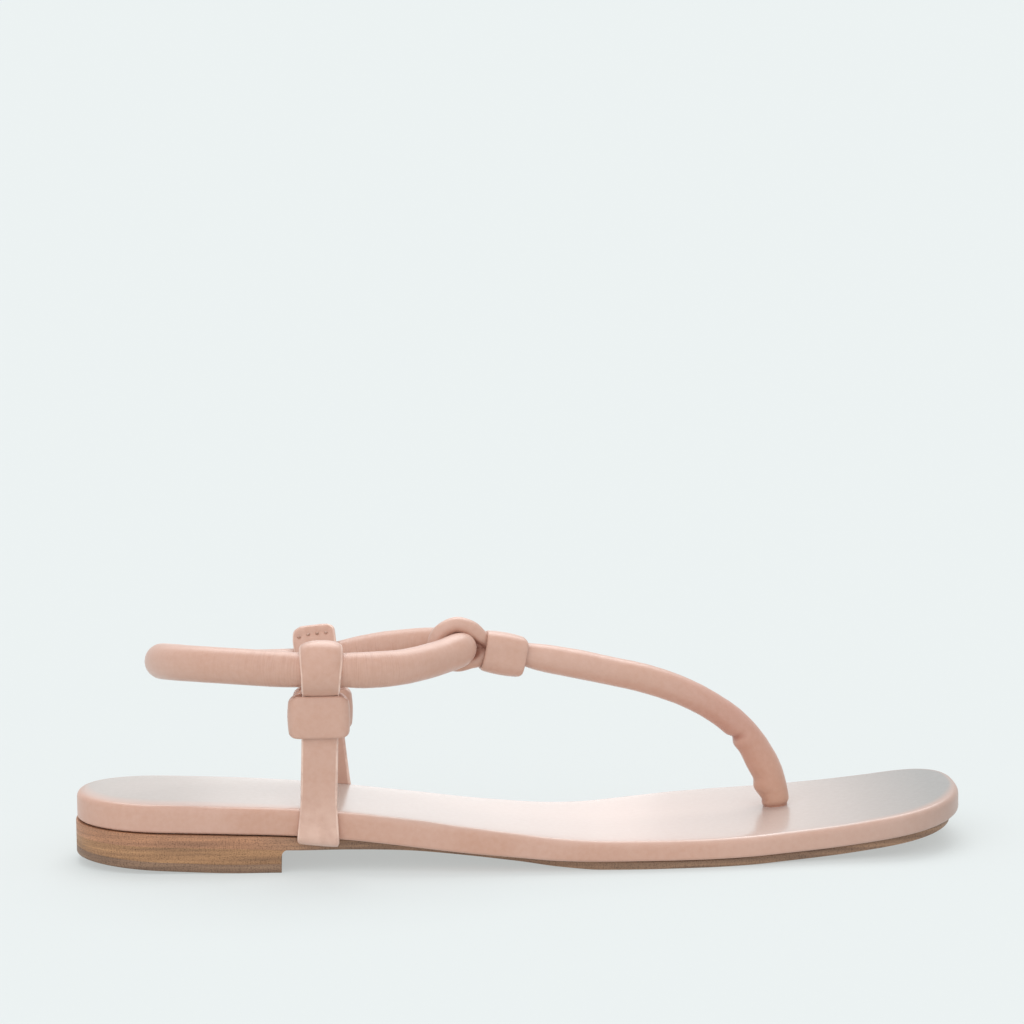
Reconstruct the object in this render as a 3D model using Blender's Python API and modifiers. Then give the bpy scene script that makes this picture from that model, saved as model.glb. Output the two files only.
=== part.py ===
"""Toe post sandal for the right foot, standing empty on the floor.

A leather-wrapped footbed lies on a brown leather outsole with a low two-layer heel.
A padded tube comes up from the toe slot, runs along the instep and folds into a ring
around the gathered ankle sling. A folded upright on each side carries the sling, and
a band keeps each fold closed.

X runs from heel (-) to toe (+), Y from the outer side (-) to the inner side (+), Z is up
and the floor is Z = 0. All sizes below are in millimetres, with x counted from the back
of the heel.
"""
import math
from collections import namedtuple

import bmesh
import bpy
from mathutils import Vector

MM = 0.001

LENGTH = 250.0
CENTRE = Vector((124.8, 2.33, 0.0))
SEAM = 0.3
LAYER_GAP = 0.1
STATIONS = 56
LAST_STEP = 1.0

HEEL_LENGTH = 57.2
HEEL_ROUND = 26.0
HEEL_ROUND_POWER = 2.2
HEEL_CENTRE_Y = -3.0
HEEL_STRIKE_LENGTH = 46.0
HEEL_STRIKE_LIFT = 2.6
HEEL_STRIKE_POWER = 1.5
TOP_PIECE_THICK = 2.5

TOE_TIP_Y = 10.0
TOE_LATERAL_START = 222.0
TOE_LATERAL_POWER = 2.7
TOE_MEDIAL_START = 231.0
TOE_MEDIAL_POWER = 2.5

# Sections of the sole from heel to toe: the two edges of the footbed in plan, its top and its
# thickness, how far the outsole lies inside it, and the outsole's underside.
Section = namedtuple("Section", "x lateral medial top thick inset under")
SECTIONS = [
    Section(0, -26.0, 20.6, 20.15, 7.8, -0.4, 8.35),
    Section(26, -26.2, 20.8, 19.05, 7.7, -0.4, 7.35),
    Section(42, -27.0, 20.2, 18.45, 7.6, -0.4, 6.85),
    Section(58, -27.7, 17.8, 17.85, 7.6, -0.3, 6.35),
    Section(75, -29.3, 14.9, 16.75, 7.7, 2.6, 5.95),
    Section(92, -31.8, 12.8, 15.05, 7.7, 6.4, 5.1),
    Section(108, -34.0, 13.2, 12.85, 7.3, 8.0, 3.5),
    Section(122, -35.2, 15.4, 10.95, 6.7, 7.2, 2.0),
    Section(134, -35.7, 19.6, 9.3, 6.2, 4.6, 0.7),
    Section(146, -35.8, 25.2, 8.35, 5.7, 2.6, 0.0),
    Section(160, -35.7, 32.6, 8.1, 5.6, 1.8, 0.0),
    Section(174, -35.0, 38.4, 8.05, 5.6, 1.8, 0.0),
    Section(186, -33.6, 40.4, 8.3, 5.7, 1.9, 0.1),
    Section(198, -31.2, 40.8, 8.85, 5.8, 2.1, 0.55),
    Section(210, -29.4, 40.2, 9.7, 5.9, 2.3, 1.3),
    Section(222, -28.2, 38.8, 11.05, 6.0, 2.5, 2.55),
    Section(234, -26.8, 37.4, 12.7, 6.1, 2.6, 4.1),
    Section(250, -25.0, 35.8, 15.5, 6.3, 2.6, 6.7),
]

# Edge profiles: distance inside the outline, which face the height is counted from, height.
EdgeRow = namedtuple("EdgeRow", "inside face height")
FOOTBED_EDGE = [
    EdgeRow(1.0, "under", 0.0), EdgeRow(0.0, "under", 0.9), EdgeRow(0.0, "top", -1.9),
    EdgeRow(0.5, "top", -0.7), EdgeRow(1.8, "top", 0.0),
]
LAYER_EDGE = [
    EdgeRow(0.5, "under", 0.0), EdgeRow(0.0, "under", 0.5), EdgeRow(0.0, "top", -0.3),
    EdgeRow(0.3, "top", 0.0),
]

# The sling: a closed route around the ankle, with the tube's radius at each point.
RoutePoint = namedtuple("RoutePoint", "x y z radius")
SLING_ROUTE = [
    RoutePoint(24.8, -3.0, 55.9, 5.0), RoutePoint(27.8, -12.0, 57.0, 5.0),
    RoutePoint(35.5, -19.0, 57.5, 5.0), RoutePoint(46.5, -24.0, 57.4, 5.0),
    RoutePoint(57.5, -27.6, 57.1, 5.0), RoutePoint(63.5, -28.8, 56.9, 4.7),
    RoutePoint(69.5, -29.3, 56.8, 4.5), RoutePoint(75.5, -29.4, 56.7, 4.7),
    RoutePoint(81.5, -29.2, 56.6, 5.0), RoutePoint(89.5, -26.8, 56.6, 4.9),
    RoutePoint(96.5, -21.5, 56.9, 4.8), RoutePoint(103.0, -14.6, 57.5, 4.8),
    RoutePoint(107.6, -9.2, 58.2, 4.4), RoutePoint(108.6, -4.0, 58.9, 3.3),
    RoutePoint(106.3, 1.4, 58.9, 3.9), RoutePoint(100.3, 7.4, 57.9, 4.4),
    RoutePoint(92.0, 11.6, 56.5, 4.7), RoutePoint(83.5, 14.0, 54.9, 4.9),
    RoutePoint(76.0, 15.3, 53.2, 4.8), RoutePoint(67.5, 15.5, 51.9, 4.2),
    RoutePoint(59.0, 15.4, 51.0, 4.7), RoutePoint(47.4, 14.2, 51.0, 5.0),
    RoutePoint(36.5, 10.8, 52.4, 5.0), RoutePoint(28.5, 5.0, 54.3, 5.0),
]
SLING_STEPS = 5

# The T-strap lies in an upright plane through the ring, turned a little toward the big toe.
# Its route starts inside the front keeper, goes round the sling and runs to the toe slot.
T_PLANE_ORIGIN = (107.2, -4.0)
T_PLANE_TURN = math.radians(7.9)
StripPoint = namedtuple("StripPoint", "along z radius")
T_ROUTE = [
    StripPoint(11.1, 54.0, 2.0), StripPoint(7.5, 54.6, 2.1), StripPoint(3.8, 53.6, 1.9),
    StripPoint(0.2, 53.2, 1.8), StripPoint(-3.5, 54.9, 2.0), StripPoint(-5.4, 58.9, 2.2),
    StripPoint(-4.2, 62.9, 2.2), StripPoint(-0.4, 65.1, 2.2), StripPoint(4.4, 63.4, 1.95),
    StripPoint(8.1, 59.1, 2.25), StripPoint(12.1, 58.3, 2.1), StripPoint(16.5, 56.6, 3.0),
    StripPoint(20.0, 55.4, 3.4), StripPoint(25.5, 54.1, 3.9), StripPoint(34.5, 52.1, 4.1),
    StripPoint(43.4, 49.9, 4.1), StripPoint(52.4, 47.6, 4.1), StripPoint(60.4, 44.9, 4.1),
    StripPoint(67.4, 41.8, 4.05), StripPoint(73.9, 38.0, 3.9), StripPoint(80.2, 33.1, 4.05),
    StripPoint(85.5, 26.7, 4.2), StripPoint(89.3, 19.4, 4.45), StripPoint(91.4, 12.4, 4.25),
    StripPoint(92.1, 7.4, 3.9), StripPoint(92.1, 4.0, 3.8),
]
T_STEPS = 3
TUBE_RESOLUTION = 3
TOE_SLOT_RADIUS = 4.5
TOE_SLOT_SIDES = 28
TOE_SLOT_ALONG = 92.0
TOE_SLOT_MIDDLE = 15.0
TOE_SLOT_DEPTH = 30.0

# Uprights: a strap folded over the sling. The profile is the strap's middle line seen from
# the toe, from under the footbed up the outside, over the sling and down the inside.
STRAP_THICK = 1.7
STRAP_AT_EDGE = 0.95
STRAP_COLUMNS = 4
STRAP_STEPS = 3
RISE_FROM = 7.3
FREE_FROM = 18.3
FREE_ABOVE = 33.3
ProfilePoint = namedtuple("ProfilePoint", "out z width")
LATERAL_PROFILE = [
    ProfilePoint(-7.6, 8.25, 11.3), ProfilePoint(-2.6, 8.25, 11.3), ProfilePoint(-0.3, 8.7, 11.3),
    ProfilePoint(0.85, 10.3, 11.3), ProfilePoint(0.95, 13.7, 10.9), ProfilePoint(0.95, 21.3, 10.0),
    ProfilePoint(1.0, 33.3, 10.0), ProfilePoint(1.0, 48.9, 10.3), ProfilePoint(2.4, 50.9, 10.8),
    ProfilePoint(5.0, 53.3, 11.2), ProfilePoint(6.1, 56.7, 11.4), ProfilePoint(5.4, 60.0, 11.8),
    ProfilePoint(3.2, 63.1, 12.0), ProfilePoint(0.0, 64.2, 12.0), ProfilePoint(-3.2, 63.1, 12.0),
    ProfilePoint(-5.4, 60.0, 11.8), ProfilePoint(-6.1, 56.7, 11.4), ProfilePoint(-5.0, 53.3, 11.2),
    ProfilePoint(-2.4, 50.9, 10.8), ProfilePoint(-1.0, 48.9, 10.3), ProfilePoint(-1.0, 33.3, 10.2),
    ProfilePoint(-1.0, 23.3, 10.2),
]
MEDIAL_PROFILE = [
    ProfilePoint(-7.6, 8.1, 11.3), ProfilePoint(-2.6, 8.1, 11.3), ProfilePoint(-0.3, 8.55, 11.3),
    ProfilePoint(0.85, 10.2, 11.3), ProfilePoint(0.95, 13.7, 11.0), ProfilePoint(0.95, 21.3, 10.6),
    ProfilePoint(1.0, 33.3, 10.4), ProfilePoint(1.0, 44.4, 10.7), ProfilePoint(2.3, 45.8, 11.1),
    ProfilePoint(4.9, 48.2, 11.6), ProfilePoint(6.1, 51.9, 11.9), ProfilePoint(5.2, 55.1, 12.1),
    ProfilePoint(3.0, 57.6, 12.2), ProfilePoint(1.4, 59.3, 12.1), ProfilePoint(0.95, 60.8, 11.6),
    ProfilePoint(0.0, 61.7, 9.6), ProfilePoint(-0.95, 60.8, 11.6), ProfilePoint(-1.4, 59.3, 12.1),
    ProfilePoint(-3.0, 57.6, 12.2), ProfilePoint(-5.2, 55.1, 12.1), ProfilePoint(-6.1, 51.9, 11.9),
    ProfilePoint(-4.9, 48.2, 11.6), ProfilePoint(-2.3, 45.8, 11.1), ProfilePoint(-1.0, 44.4, 10.7),
    ProfilePoint(-1.0, 33.3, 10.4), ProfilePoint(-1.0, 23.3, 10.4),
]
Upright = namedtuple("Upright", "name profile base_x top_x top_z sling_y side keeper_x keeper_z")
UPRIGHTS = [
    Upright("lateral", LATERAL_PROFILE, 67.4, 69.1, 59.3, -29.2, -1, 68.2, 44.1),
    Upright("medial", MEDIAL_PROFILE, 72.7, 67.3, 59.3, 15.5, 1, 69.4, 38.5),
]

# Keepers: width, depth and height of each band, and its wall.
SIDE_KEEPER = (17.3, 6.8, 11.8)
FRONT_KEEPER = (11.8, 9.4, 11.2)
KEEPER_WALL = 1.3
FRONT_KEEPER_WALL = 1.15
KEEPER_CORNER = 0.42
KEEPER_CORNER_STEPS = 5
SIDE_KEEPER_RIM = 0.5
FRONT_KEEPER_RIM = 0.5
FRONT_KEEPER_PLACE = (13.2, 56.05)
FRONT_KEEPER_TILT = math.radians(12.5)

# Room for an upright's foot between footbed and outsole: along, across and deep.
NOTCH = (15.0, 12.0, 4.4)
NOTCH_DEPTH = 2.3
NOTCH_REACH = 8.8
NOTCH_SPAN = 5.0

SHARP_FROM = math.radians(40)
RIM_FROM = math.radians(60)
RIM_SEGMENTS = 2

BLUSH = (0.60, 0.38, 0.29, 1.0)
BLUSH_PALE = (0.70, 0.50, 0.42, 1.0)
TAN = (0.30, 0.17, 0.10, 1.0)
DARK_TAN = (0.20, 0.12, 0.08, 1.0)
FOOTBED_ROUGHNESS = 0.25
STRAP_ROUGHNESS = 0.45
SOLE_ROUGHNESS = 0.6


def smooth(table, column):
    """Return a function of x through one column of a section table, with no overshoot."""
    xs = [row.x for row in table]
    ys = [getattr(row, column) for row in table]
    steps = [(ys[i + 1] - ys[i]) / (xs[i + 1] - xs[i]) for i in range(len(xs) - 1)]
    slopes = [steps[0]]
    for before, after in zip(steps, steps[1:]):
        slopes.append(0.0 if before * after <= 0 else 2 * before * after / (before + after))
    slopes.append(steps[-1])

    def value(x):
        x = min(max(x, xs[0]), xs[-1])
        i = max(k for k in range(len(xs) - 1) if xs[k] <= x)
        span = xs[i + 1] - xs[i]
        t = (x - xs[i]) / span
        blend = t * t * (3 - 2 * t)
        bend = t * (1 - t) * ((1 - t) * slopes[i] - t * slopes[i + 1]) * span
        return ys[i] * (1 - blend) + ys[i + 1] * blend + bend

    return value


footbed_top = smooth(SECTIONS, "top")
footbed_thick = smooth(SECTIONS, "thick")
lateral_edge = smooth(SECTIONS, "lateral")
medial_edge = smooth(SECTIONS, "medial")
outsole_inset = smooth(SECTIONS, "inset")
outsole_under = smooth(SECTIONS, "under")


def footbed_under(x):
    return footbed_top(x) - footbed_thick(x)


def outsole_top(x):
    return footbed_under(x) - SEAM


def heel_ground(x):
    """Underside of the heel: flat, with its back edge worn up a little."""
    reach = max(0.0, 1 - x / HEEL_STRIKE_LENGTH)
    return HEEL_STRIKE_LIFT * reach ** HEEL_STRIKE_POWER


def plan_y(x, edge, toe_start, power):
    """Edge of the footbed in plan, closed by a round heel and a squared toe."""
    y = edge(x)
    if x < HEEL_ROUND:
        part = (HEEL_ROUND - x) / HEEL_ROUND
        width = max(0.0, 1 - part ** HEEL_ROUND_POWER) ** (1 / HEEL_ROUND_POWER)
        y = HEEL_CENTRE_Y + (y - HEEL_CENTRE_Y) * width
    if x > toe_start:
        part = min(1.0, (x - toe_start) / (LENGTH - toe_start))
        y = TOE_TIP_Y + (y - TOE_TIP_Y) * (1 - part ** power) ** (1 / power)
    return y


def plan_ring(last_x):
    """Plan outline from the back of the heel along the outer edge and back along the inner."""
    xs = [LENGTH / 2 * (1 - math.cos(math.pi * i / STATIONS)) for i in range(STATIONS + 1)]
    if last_x < LENGTH:
        xs = [x for x in xs if x < last_x - LAST_STEP] + [last_x]
    outer = [(x, plan_y(x, lateral_edge, TOE_LATERAL_START, TOE_LATERAL_POWER)) for x in xs]
    inner = [(x, plan_y(x, medial_edge, TOE_MEDIAL_START, TOE_MEDIAL_POWER)) for x in xs]
    last = len(xs) - 1 if last_x < LENGTH else len(xs) - 2
    return outer + inner[last:0:-1]


def inside(ring, distance, blunt):
    """Move a plan outline inward; a blunt end moves only along its two sides."""
    count = len(ring)
    moved = []
    for i, (x, y) in enumerate(ring):
        before = Vector(ring[i - 1])
        after = Vector(ring[(i + 1) % count])
        if blunt and i == count // 2:
            after = Vector((x, y))
        if blunt and i == count // 2 + 1:
            before = Vector((x, y))
        along = (after - before).normalized()
        step = distance(x)
        moved.append((x - along.y * step, y + along.x * step))
    return moved


def place(x, y, z):
    return (Vector((x, y, z)) - CENTRE) * MM


def mesh_object(name, verts, faces):
    mesh = bpy.data.meshes.new(name)
    mesh.from_pydata(verts, [], faces)
    bm = bmesh.new()
    bm.from_mesh(mesh)
    bmesh.ops.recalc_face_normals(bm, faces=bm.faces)
    bm.to_mesh(mesh)
    bm.free()
    mesh.shade_smooth()
    mesh.set_sharp_from_angle(angle=SHARP_FROM)
    return bpy.data.objects.new(name, mesh)


def sole_layer(name, edge_rows, top, under, inset, last_x=LENGTH):
    """A layer of the sole: rings of one outline joined up its side, and two caps across."""
    blunt = last_x < LENGTH
    outline = plan_ring(last_x)
    count = len(outline)
    verts = []
    for row in edge_rows:
        ring = inside(outline, lambda x: inset(x) + row.inside, blunt)
        face = top if row.face == "top" else under
        for x, y in ring:
            if blunt:
                x = min(x, last_x)
            verts.append(place(x, y, face(x) + row.height))
    faces = []
    for r in range(len(edge_rows) - 1):
        for i in range(count):
            j = (i + 1) % count
            faces.append((r * count + i, r * count + j, (r + 1) * count + j, (r + 1) * count + i))
    for base in (0, (len(edge_rows) - 1) * count):
        faces.append((base, base + 1, base + count - 1))
        for i in range(1, (count - 1) // 2):
            faces.append((base + i, base + i + 1, base + count - i - 1, base + count - i))
        if not blunt:
            middle = count // 2
            faces.append((base + middle - 1, base + middle, base + middle + 1))
    return mesh_object(name, verts, faces)


def catmull(points, steps, closed):
    """Points along a smooth curve through the given ones, any number of values each."""
    count = len(points)
    spans = count if closed else count - 1
    result = []
    for i in range(spans):
        if closed:
            a, b, c, d = (points[(i + k) % count] for k in (-1, 0, 1, 2))
        else:
            a, b = points[max(i - 1, 0)], points[i]
            c, d = points[i + 1], points[min(i + 2, count - 1)]
        for s in range(steps):
            t = s / steps
            result.append(tuple(
                0.5 * (2 * q + (r - p) * t + (2 * p - 5 * q + 4 * r - u) * t * t
                       + (3 * q - p - 3 * r + u) * t ** 3)
                for p, q, r, u in zip(a, b, c, d)))
    if not closed:
        result.append(tuple(points[-1]))
    return result


def tube(name, points, closed):
    """A round tube along points of (position, radius)."""
    curve = bpy.data.curves.new(name, "CURVE")
    curve.dimensions = "3D"
    curve.bevel_depth = MM
    curve.bevel_resolution = TUBE_RESOLUTION
    curve.use_fill_caps = not closed
    spline = curve.splines.new("POLY")
    spline.points.add(len(points) - 1)
    for point, (position, radius) in zip(spline.points, points):
        point.co = (*position, 1.0)
        point.radius = radius
    spline.use_cyclic_u = closed
    return bpy.data.objects.new(name, curve)


def band(name, width, depth, height, wall, rim):
    """A keeper: a rounded rectangle drawn up to its height, walled, with softened rims."""
    radius = min(width, depth) * KEEPER_CORNER
    points = []
    for k, (sx, sy) in enumerate([(1, 1), (-1, 1), (-1, -1), (1, -1)]):
        for s in range(KEEPER_CORNER_STEPS + 1):
            angle = math.pi / 2 * (k + s / KEEPER_CORNER_STEPS)
            points.append((sx * (width / 2 - radius) + radius * math.cos(angle),
                           sy * (depth / 2 - radius) + radius * math.sin(angle)))
    count = len(points)
    verts = [Vector((x, y, z)) * MM for z in (-height / 2, height / 2) for x, y in points]
    faces = [(i, (i + 1) % count, count + (i + 1) % count, count + i) for i in range(count)]
    keeper = mesh_object(name, verts, faces)
    walled = keeper.modifiers.new("wall", "SOLIDIFY")
    walled.thickness = wall * MM
    walled.offset = -1.0
    walled.use_even_offset = True
    rims = keeper.modifiers.new("rims", "BEVEL")
    rims.width = rim * MM
    rims.segments = RIM_SEGMENTS
    rims.limit_method = "ANGLE"
    rims.angle_limit = RIM_FROM
    return keeper


def share(value, low, high):
    """Where a value stands between two others, from 0 to 1."""
    return min(max((value - low) / (high - low), 0.0), 1.0)


def upright_object(upright):
    """A folded strap: a strip along the profile, given its thickness by Solidify."""
    points = catmull(upright.profile, STRAP_STEPS, False)
    edge = lateral_edge if upright.side < 0 else medial_edge
    seat = STRAP_THICK / 2 + SEAM - STRAP_AT_EDGE
    columns = STRAP_COLUMNS
    verts = []
    for out, z, width in points:
        rise = share(z, RISE_FROM, upright.top_z)
        centre_x = upright.base_x + (upright.top_x - upright.base_x) * rise
        free = share(z, FREE_FROM, FREE_ABOVE)
        for c in range(columns + 1):
            across = (c / columns - 0.5) * width
            x = centre_x + across
            on_edge = edge(x) + upright.side * (out + seat)
            on_sling = upright.sling_y + upright.side * out
            drop = (footbed_under(x) - footbed_under(upright.base_x)) * (1 - free)
            verts.append(place(x, on_edge + (on_sling - on_edge) * free, z + drop))
    faces = []
    for r in range(len(points) - 1):
        for c in range(columns):
            a = r * (columns + 1) + c
            faces.append((a, a + 1, a + columns + 2, a + columns + 1))
    strap = mesh_object("upright_" + upright.name, verts, faces)
    solid = strap.modifiers.new("thickness", "SOLIDIFY")
    solid.thickness = STRAP_THICK * MM
    solid.offset = 0.0
    solid.use_even_offset = True
    return strap


def box(name, size, centre):
    mesh = bpy.data.meshes.new(name)
    bm = bmesh.new()
    bmesh.ops.create_cube(bm, size=1.0)
    bmesh.ops.scale(bm, vec=Vector(size) * MM, verts=bm.verts)
    bm.to_mesh(mesh)
    bm.free()
    cutter = bpy.data.objects.new(name, mesh)
    cutter.location = place(*centre)
    return cutter


def drill(name, radius, height):
    mesh = bpy.data.meshes.new(name)
    bm = bmesh.new()
    bmesh.ops.create_cone(bm, cap_ends=True, segments=TOE_SLOT_SIDES, radius1=radius * MM,
                          radius2=radius * MM, depth=height * MM)
    bm.to_mesh(mesh)
    bm.free()
    return bpy.data.objects.new(name, mesh)


def notch_cutter(upright):
    """Room in the outsole for an upright's foot, square to the edge and level with the footbed."""
    edge = lateral_edge if upright.side < 0 else medial_edge
    x = upright.base_x
    floor = outsole_top(x) - NOTCH_DEPTH
    y = edge(x) + upright.side * (NOTCH[1] / 2 - NOTCH_REACH)
    notch = box("notch_" + upright.name, NOTCH, (x, y, floor + NOTCH[2] / 2))
    before = x - NOTCH_SPAN
    after = x + NOTCH_SPAN
    pitch = math.atan2(footbed_under(before) - footbed_under(after), 2 * NOTCH_SPAN)
    turn = math.atan2(edge(after) - edge(before), 2 * NOTCH_SPAN)
    notch.rotation_euler = (0.0, pitch, turn)
    return notch


def cut(target, cutter):
    modifier = target.modifiers.new("cut_" + cutter.name, "BOOLEAN")
    modifier.operation = "DIFFERENCE"
    modifier.solver = "EXACT"
    modifier.object = cutter


def material(name, colour, roughness):
    made = bpy.data.materials.new(name)
    made.use_nodes = True
    shader = made.node_tree.nodes["Principled BSDF"]
    shader.inputs["Base Color"].default_value = colour
    shader.inputs["Roughness"].default_value = roughness
    shader.inputs["Metallic"].default_value = 0.0
    return made


def t_plane(along, z):
    """World point of the T-strap's own upright plane."""
    x = T_PLANE_ORIGIN[0] + along * math.cos(T_PLANE_TURN)
    y = T_PLANE_ORIGIN[1] + along * math.sin(T_PLANE_TURN)
    return place(x, y, z)


def build():
    for old in list(bpy.data.objects):
        bpy.data.objects.remove(old, do_unlink=True)
    parts = bpy.data.collections.new("toe_post_sandal")
    cutters = bpy.data.collections.new("cutters")
    bpy.context.scene.collection.children.link(parts)
    bpy.context.scene.collection.children.link(cutters)

    def add(piece, finish):
        piece.data.materials.append(finish)
        parts.objects.link(piece)
        return piece

    def add_cutter(cutter):
        cutter.hide_render = True
        cutter.display_type = "WIRE"
        cutters.objects.link(cutter)
        return cutter

    footbed = add(sole_layer("footbed", FOOTBED_EDGE, footbed_top, footbed_under, lambda x: 0.0),
                  material("footbed_leather", BLUSH_PALE, FOOTBED_ROUGHNESS))
    outsole = add(sole_layer("outsole", LAYER_EDGE, outsole_top, outsole_under, outsole_inset),
                  material("outsole_leather", TAN, SOLE_ROUGHNESS))
    add(sole_layer("heel_stack", LAYER_EDGE, lambda x: outsole_under(x) - LAYER_GAP,
                   lambda x: heel_ground(x) + TOP_PIECE_THICK, outsole_inset, HEEL_LENGTH),
        material("heel_stack_leather", TAN, SOLE_ROUGHNESS))
    add(sole_layer("heel_top_piece", LAYER_EDGE,
                   lambda x: heel_ground(x) + TOP_PIECE_THICK - LAYER_GAP,
                   heel_ground, outsole_inset, HEEL_LENGTH),
        material("top_piece_leather", DARK_TAN, SOLE_ROUGHNESS))

    sling_points = [(place(x, y, z), r) for x, y, z, r in catmull(SLING_ROUTE, SLING_STEPS, True)]
    add(tube("sling_strap", sling_points, True), material("sling_leather", BLUSH, STRAP_ROUGHNESS))

    t_points = [(t_plane(s, z), r) for s, z, r in catmull(T_ROUTE, T_STEPS, False)]
    add(tube("t_strap", t_points, False), material("t_strap_leather", BLUSH, STRAP_ROUGHNESS))

    front = add(band("keeper_front", *FRONT_KEEPER, FRONT_KEEPER_WALL, FRONT_KEEPER_RIM),
                material("keeper_leather", BLUSH, STRAP_ROUGHNESS))
    front.location = t_plane(*FRONT_KEEPER_PLACE)
    front.rotation_euler = (0.0, math.pi / 2 + FRONT_KEEPER_TILT, T_PLANE_TURN)

    slot = add_cutter(drill("toe_slot", TOE_SLOT_RADIUS, TOE_SLOT_DEPTH))
    slot.location = t_plane(TOE_SLOT_ALONG, TOE_SLOT_MIDDLE)
    cut(footbed, slot)

    for upright in UPRIGHTS:
        add(upright_object(upright),
            material("upright_%s_leather" % upright.name, BLUSH, STRAP_ROUGHNESS))
        keeper = add(band("keeper_" + upright.name, *SIDE_KEEPER, KEEPER_WALL, SIDE_KEEPER_RIM),
                     material("keeper_%s_leather" % upright.name, BLUSH, STRAP_ROUGHNESS))
        keeper.location = place(upright.keeper_x, upright.sling_y, upright.keeper_z)
        cut(outsole, add_cutter(notch_cutter(upright)))


build()
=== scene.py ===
# %% [markdown]
# # A toe post sandal in blush leather
# The sandal is a flat summer shoe: a leather-wrapped footbed on a brown leather sole, a padded tube
# that comes up between the toes, and a gathered sling around the ankle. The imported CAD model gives
# every piece its place and size. Each piece is made again here with soft edges, folds and grain, and
# then stands for its CAD solid, so the two never drift apart.

# %% Load the packed sandal
import math
from collections import namedtuple

import bmesh
import bpy
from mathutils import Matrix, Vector, kdtree, noise


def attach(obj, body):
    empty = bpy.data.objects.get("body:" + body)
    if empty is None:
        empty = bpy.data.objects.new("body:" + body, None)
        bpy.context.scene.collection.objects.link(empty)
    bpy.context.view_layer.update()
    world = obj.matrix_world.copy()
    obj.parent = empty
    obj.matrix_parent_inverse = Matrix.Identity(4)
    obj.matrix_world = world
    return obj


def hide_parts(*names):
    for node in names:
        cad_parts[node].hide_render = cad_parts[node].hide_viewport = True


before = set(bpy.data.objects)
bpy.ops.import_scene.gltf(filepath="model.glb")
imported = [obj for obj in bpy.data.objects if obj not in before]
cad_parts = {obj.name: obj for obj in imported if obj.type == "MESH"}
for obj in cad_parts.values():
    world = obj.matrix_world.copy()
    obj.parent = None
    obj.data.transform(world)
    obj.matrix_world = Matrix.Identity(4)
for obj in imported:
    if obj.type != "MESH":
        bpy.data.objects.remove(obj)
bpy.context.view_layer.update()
print("pieces to dress:", ", ".join(sorted(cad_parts)))

# %% [markdown]
# A shoemaker counts from the back of the heel and in millimetres, so this script does too. One small
# function turns such a point into the frame's metres. With it, every size below can be read as it
# would be on the workbench.

# %% The workbench: millimetres from the back of the heel
MM = 0.001
FRAME_ORIGIN = Vector((124.8, 2.33, 0.0))


def place(x, y, z):
    """A point in the sandal's own millimetres, as a point of the frame."""
    return (Vector((x, y, z)) - FRAME_ORIGIN) * MM


print("heel back is at", [round(v, 4) for v in place(0, 0, 0)])

# %% [markdown]
# The picture is taken from the outer side, a little above the sole and slightly toward the heel, with
# a long lens. A long lens keeps the near and far straps almost the same size, which is how a shop
# photograph shows a shoe. The sandal fills the lower part of the frame. The photograph leans by less
# than a degree, so the camera is rolled by as much and the floor stays level.

# %% Camera
CAMERA_AT = Vector((-0.05861, -1.17867, 0.24836))
CAMERA_AIM = Vector((-0.001331, -0.00233, 0.09583))
CAMERA_ROLL = math.radians(-0.69)
CAMERA_LENS = 148.68
CAMERA_REACH = 300.0

camera = bpy.data.objects.new("camera", bpy.data.cameras.new("camera"))
camera.data.lens = CAMERA_LENS
camera.data.clip_end = CAMERA_REACH
camera.location = CAMERA_AT
camera.rotation_euler = (CAMERA_AIM - CAMERA_AT).to_track_quat("-Z", "Y").to_euler()
camera.rotation_euler.rotate_axis("Z", CAMERA_ROLL)
bpy.context.scene.collection.objects.link(camera)
bpy.context.scene.camera = camera
bpy.context.scene.view_settings.view_transform = "Standard"
print("camera", round((CAMERA_AIM - CAMERA_AT).length, 3), "m from its aim")

# %% [markdown]
# The studio is a wide pale floor under a pale sky, so there is no horizon to see. The floor is a light
# table, as shop photographers use: half of its brightness is its own glow, which keeps the shadow of
# the sole pale. The main light comes from above and behind, as the bright top edges of the straps
# show, and a weaker one from the front opens up the near side. Three panels behind the sandal are
# seen only as a gleam on polished leather, because a smooth surface mirrors what stands behind it
# when it is looked at from a low angle.

# %% Floor and sky
FLOOR_SIZE = 120.0
FLOOR_COLOUR = (0.342, 0.362, 0.362, 1.0)
FLOOR_GLOW = (0.42, 0.4435, 0.4435, 1.0)
FLOOR_ROUGHNESS = 0.9
SKY_COLOUR = (1.0, 1.0, 1.0, 1.0)
SKY_STRENGTH = 0.7

floor_mesh = bpy.data.meshes.new("floor")
half_floor = FLOOR_SIZE / 2
floor_mesh.from_pydata([(-half_floor, -half_floor, 0), (half_floor, -half_floor, 0),
                        (half_floor, half_floor, 0), (-half_floor, half_floor, 0)], [], [(0, 1, 2, 3)])
floor = bpy.data.objects.new("floor", floor_mesh)
bpy.context.scene.collection.objects.link(floor)
floor_paint = bpy.data.materials.new("floor_paint")
floor_paint.use_nodes = True
floor_shader = floor_paint.node_tree.nodes["Principled BSDF"]
floor_shader.inputs["Base Color"].default_value = FLOOR_COLOUR
floor_shader.inputs["Emission Color"].default_value = FLOOR_GLOW
floor_shader.inputs["Emission Strength"].default_value = 1.0
floor_shader.inputs["Roughness"].default_value = FLOOR_ROUGHNESS
floor_shader.inputs["Specular IOR Level"].default_value = 0.0
floor.data.materials.append(floor_paint)

sky = bpy.data.worlds.new("sky")
sky.use_nodes = True
sky.node_tree.nodes["Background"].inputs["Color"].default_value = SKY_COLOUR
sky.node_tree.nodes["Background"].inputs["Strength"].default_value = SKY_STRENGTH
bpy.context.scene.world = sky
print("floor", FLOOR_SIZE, "m wide")

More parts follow.
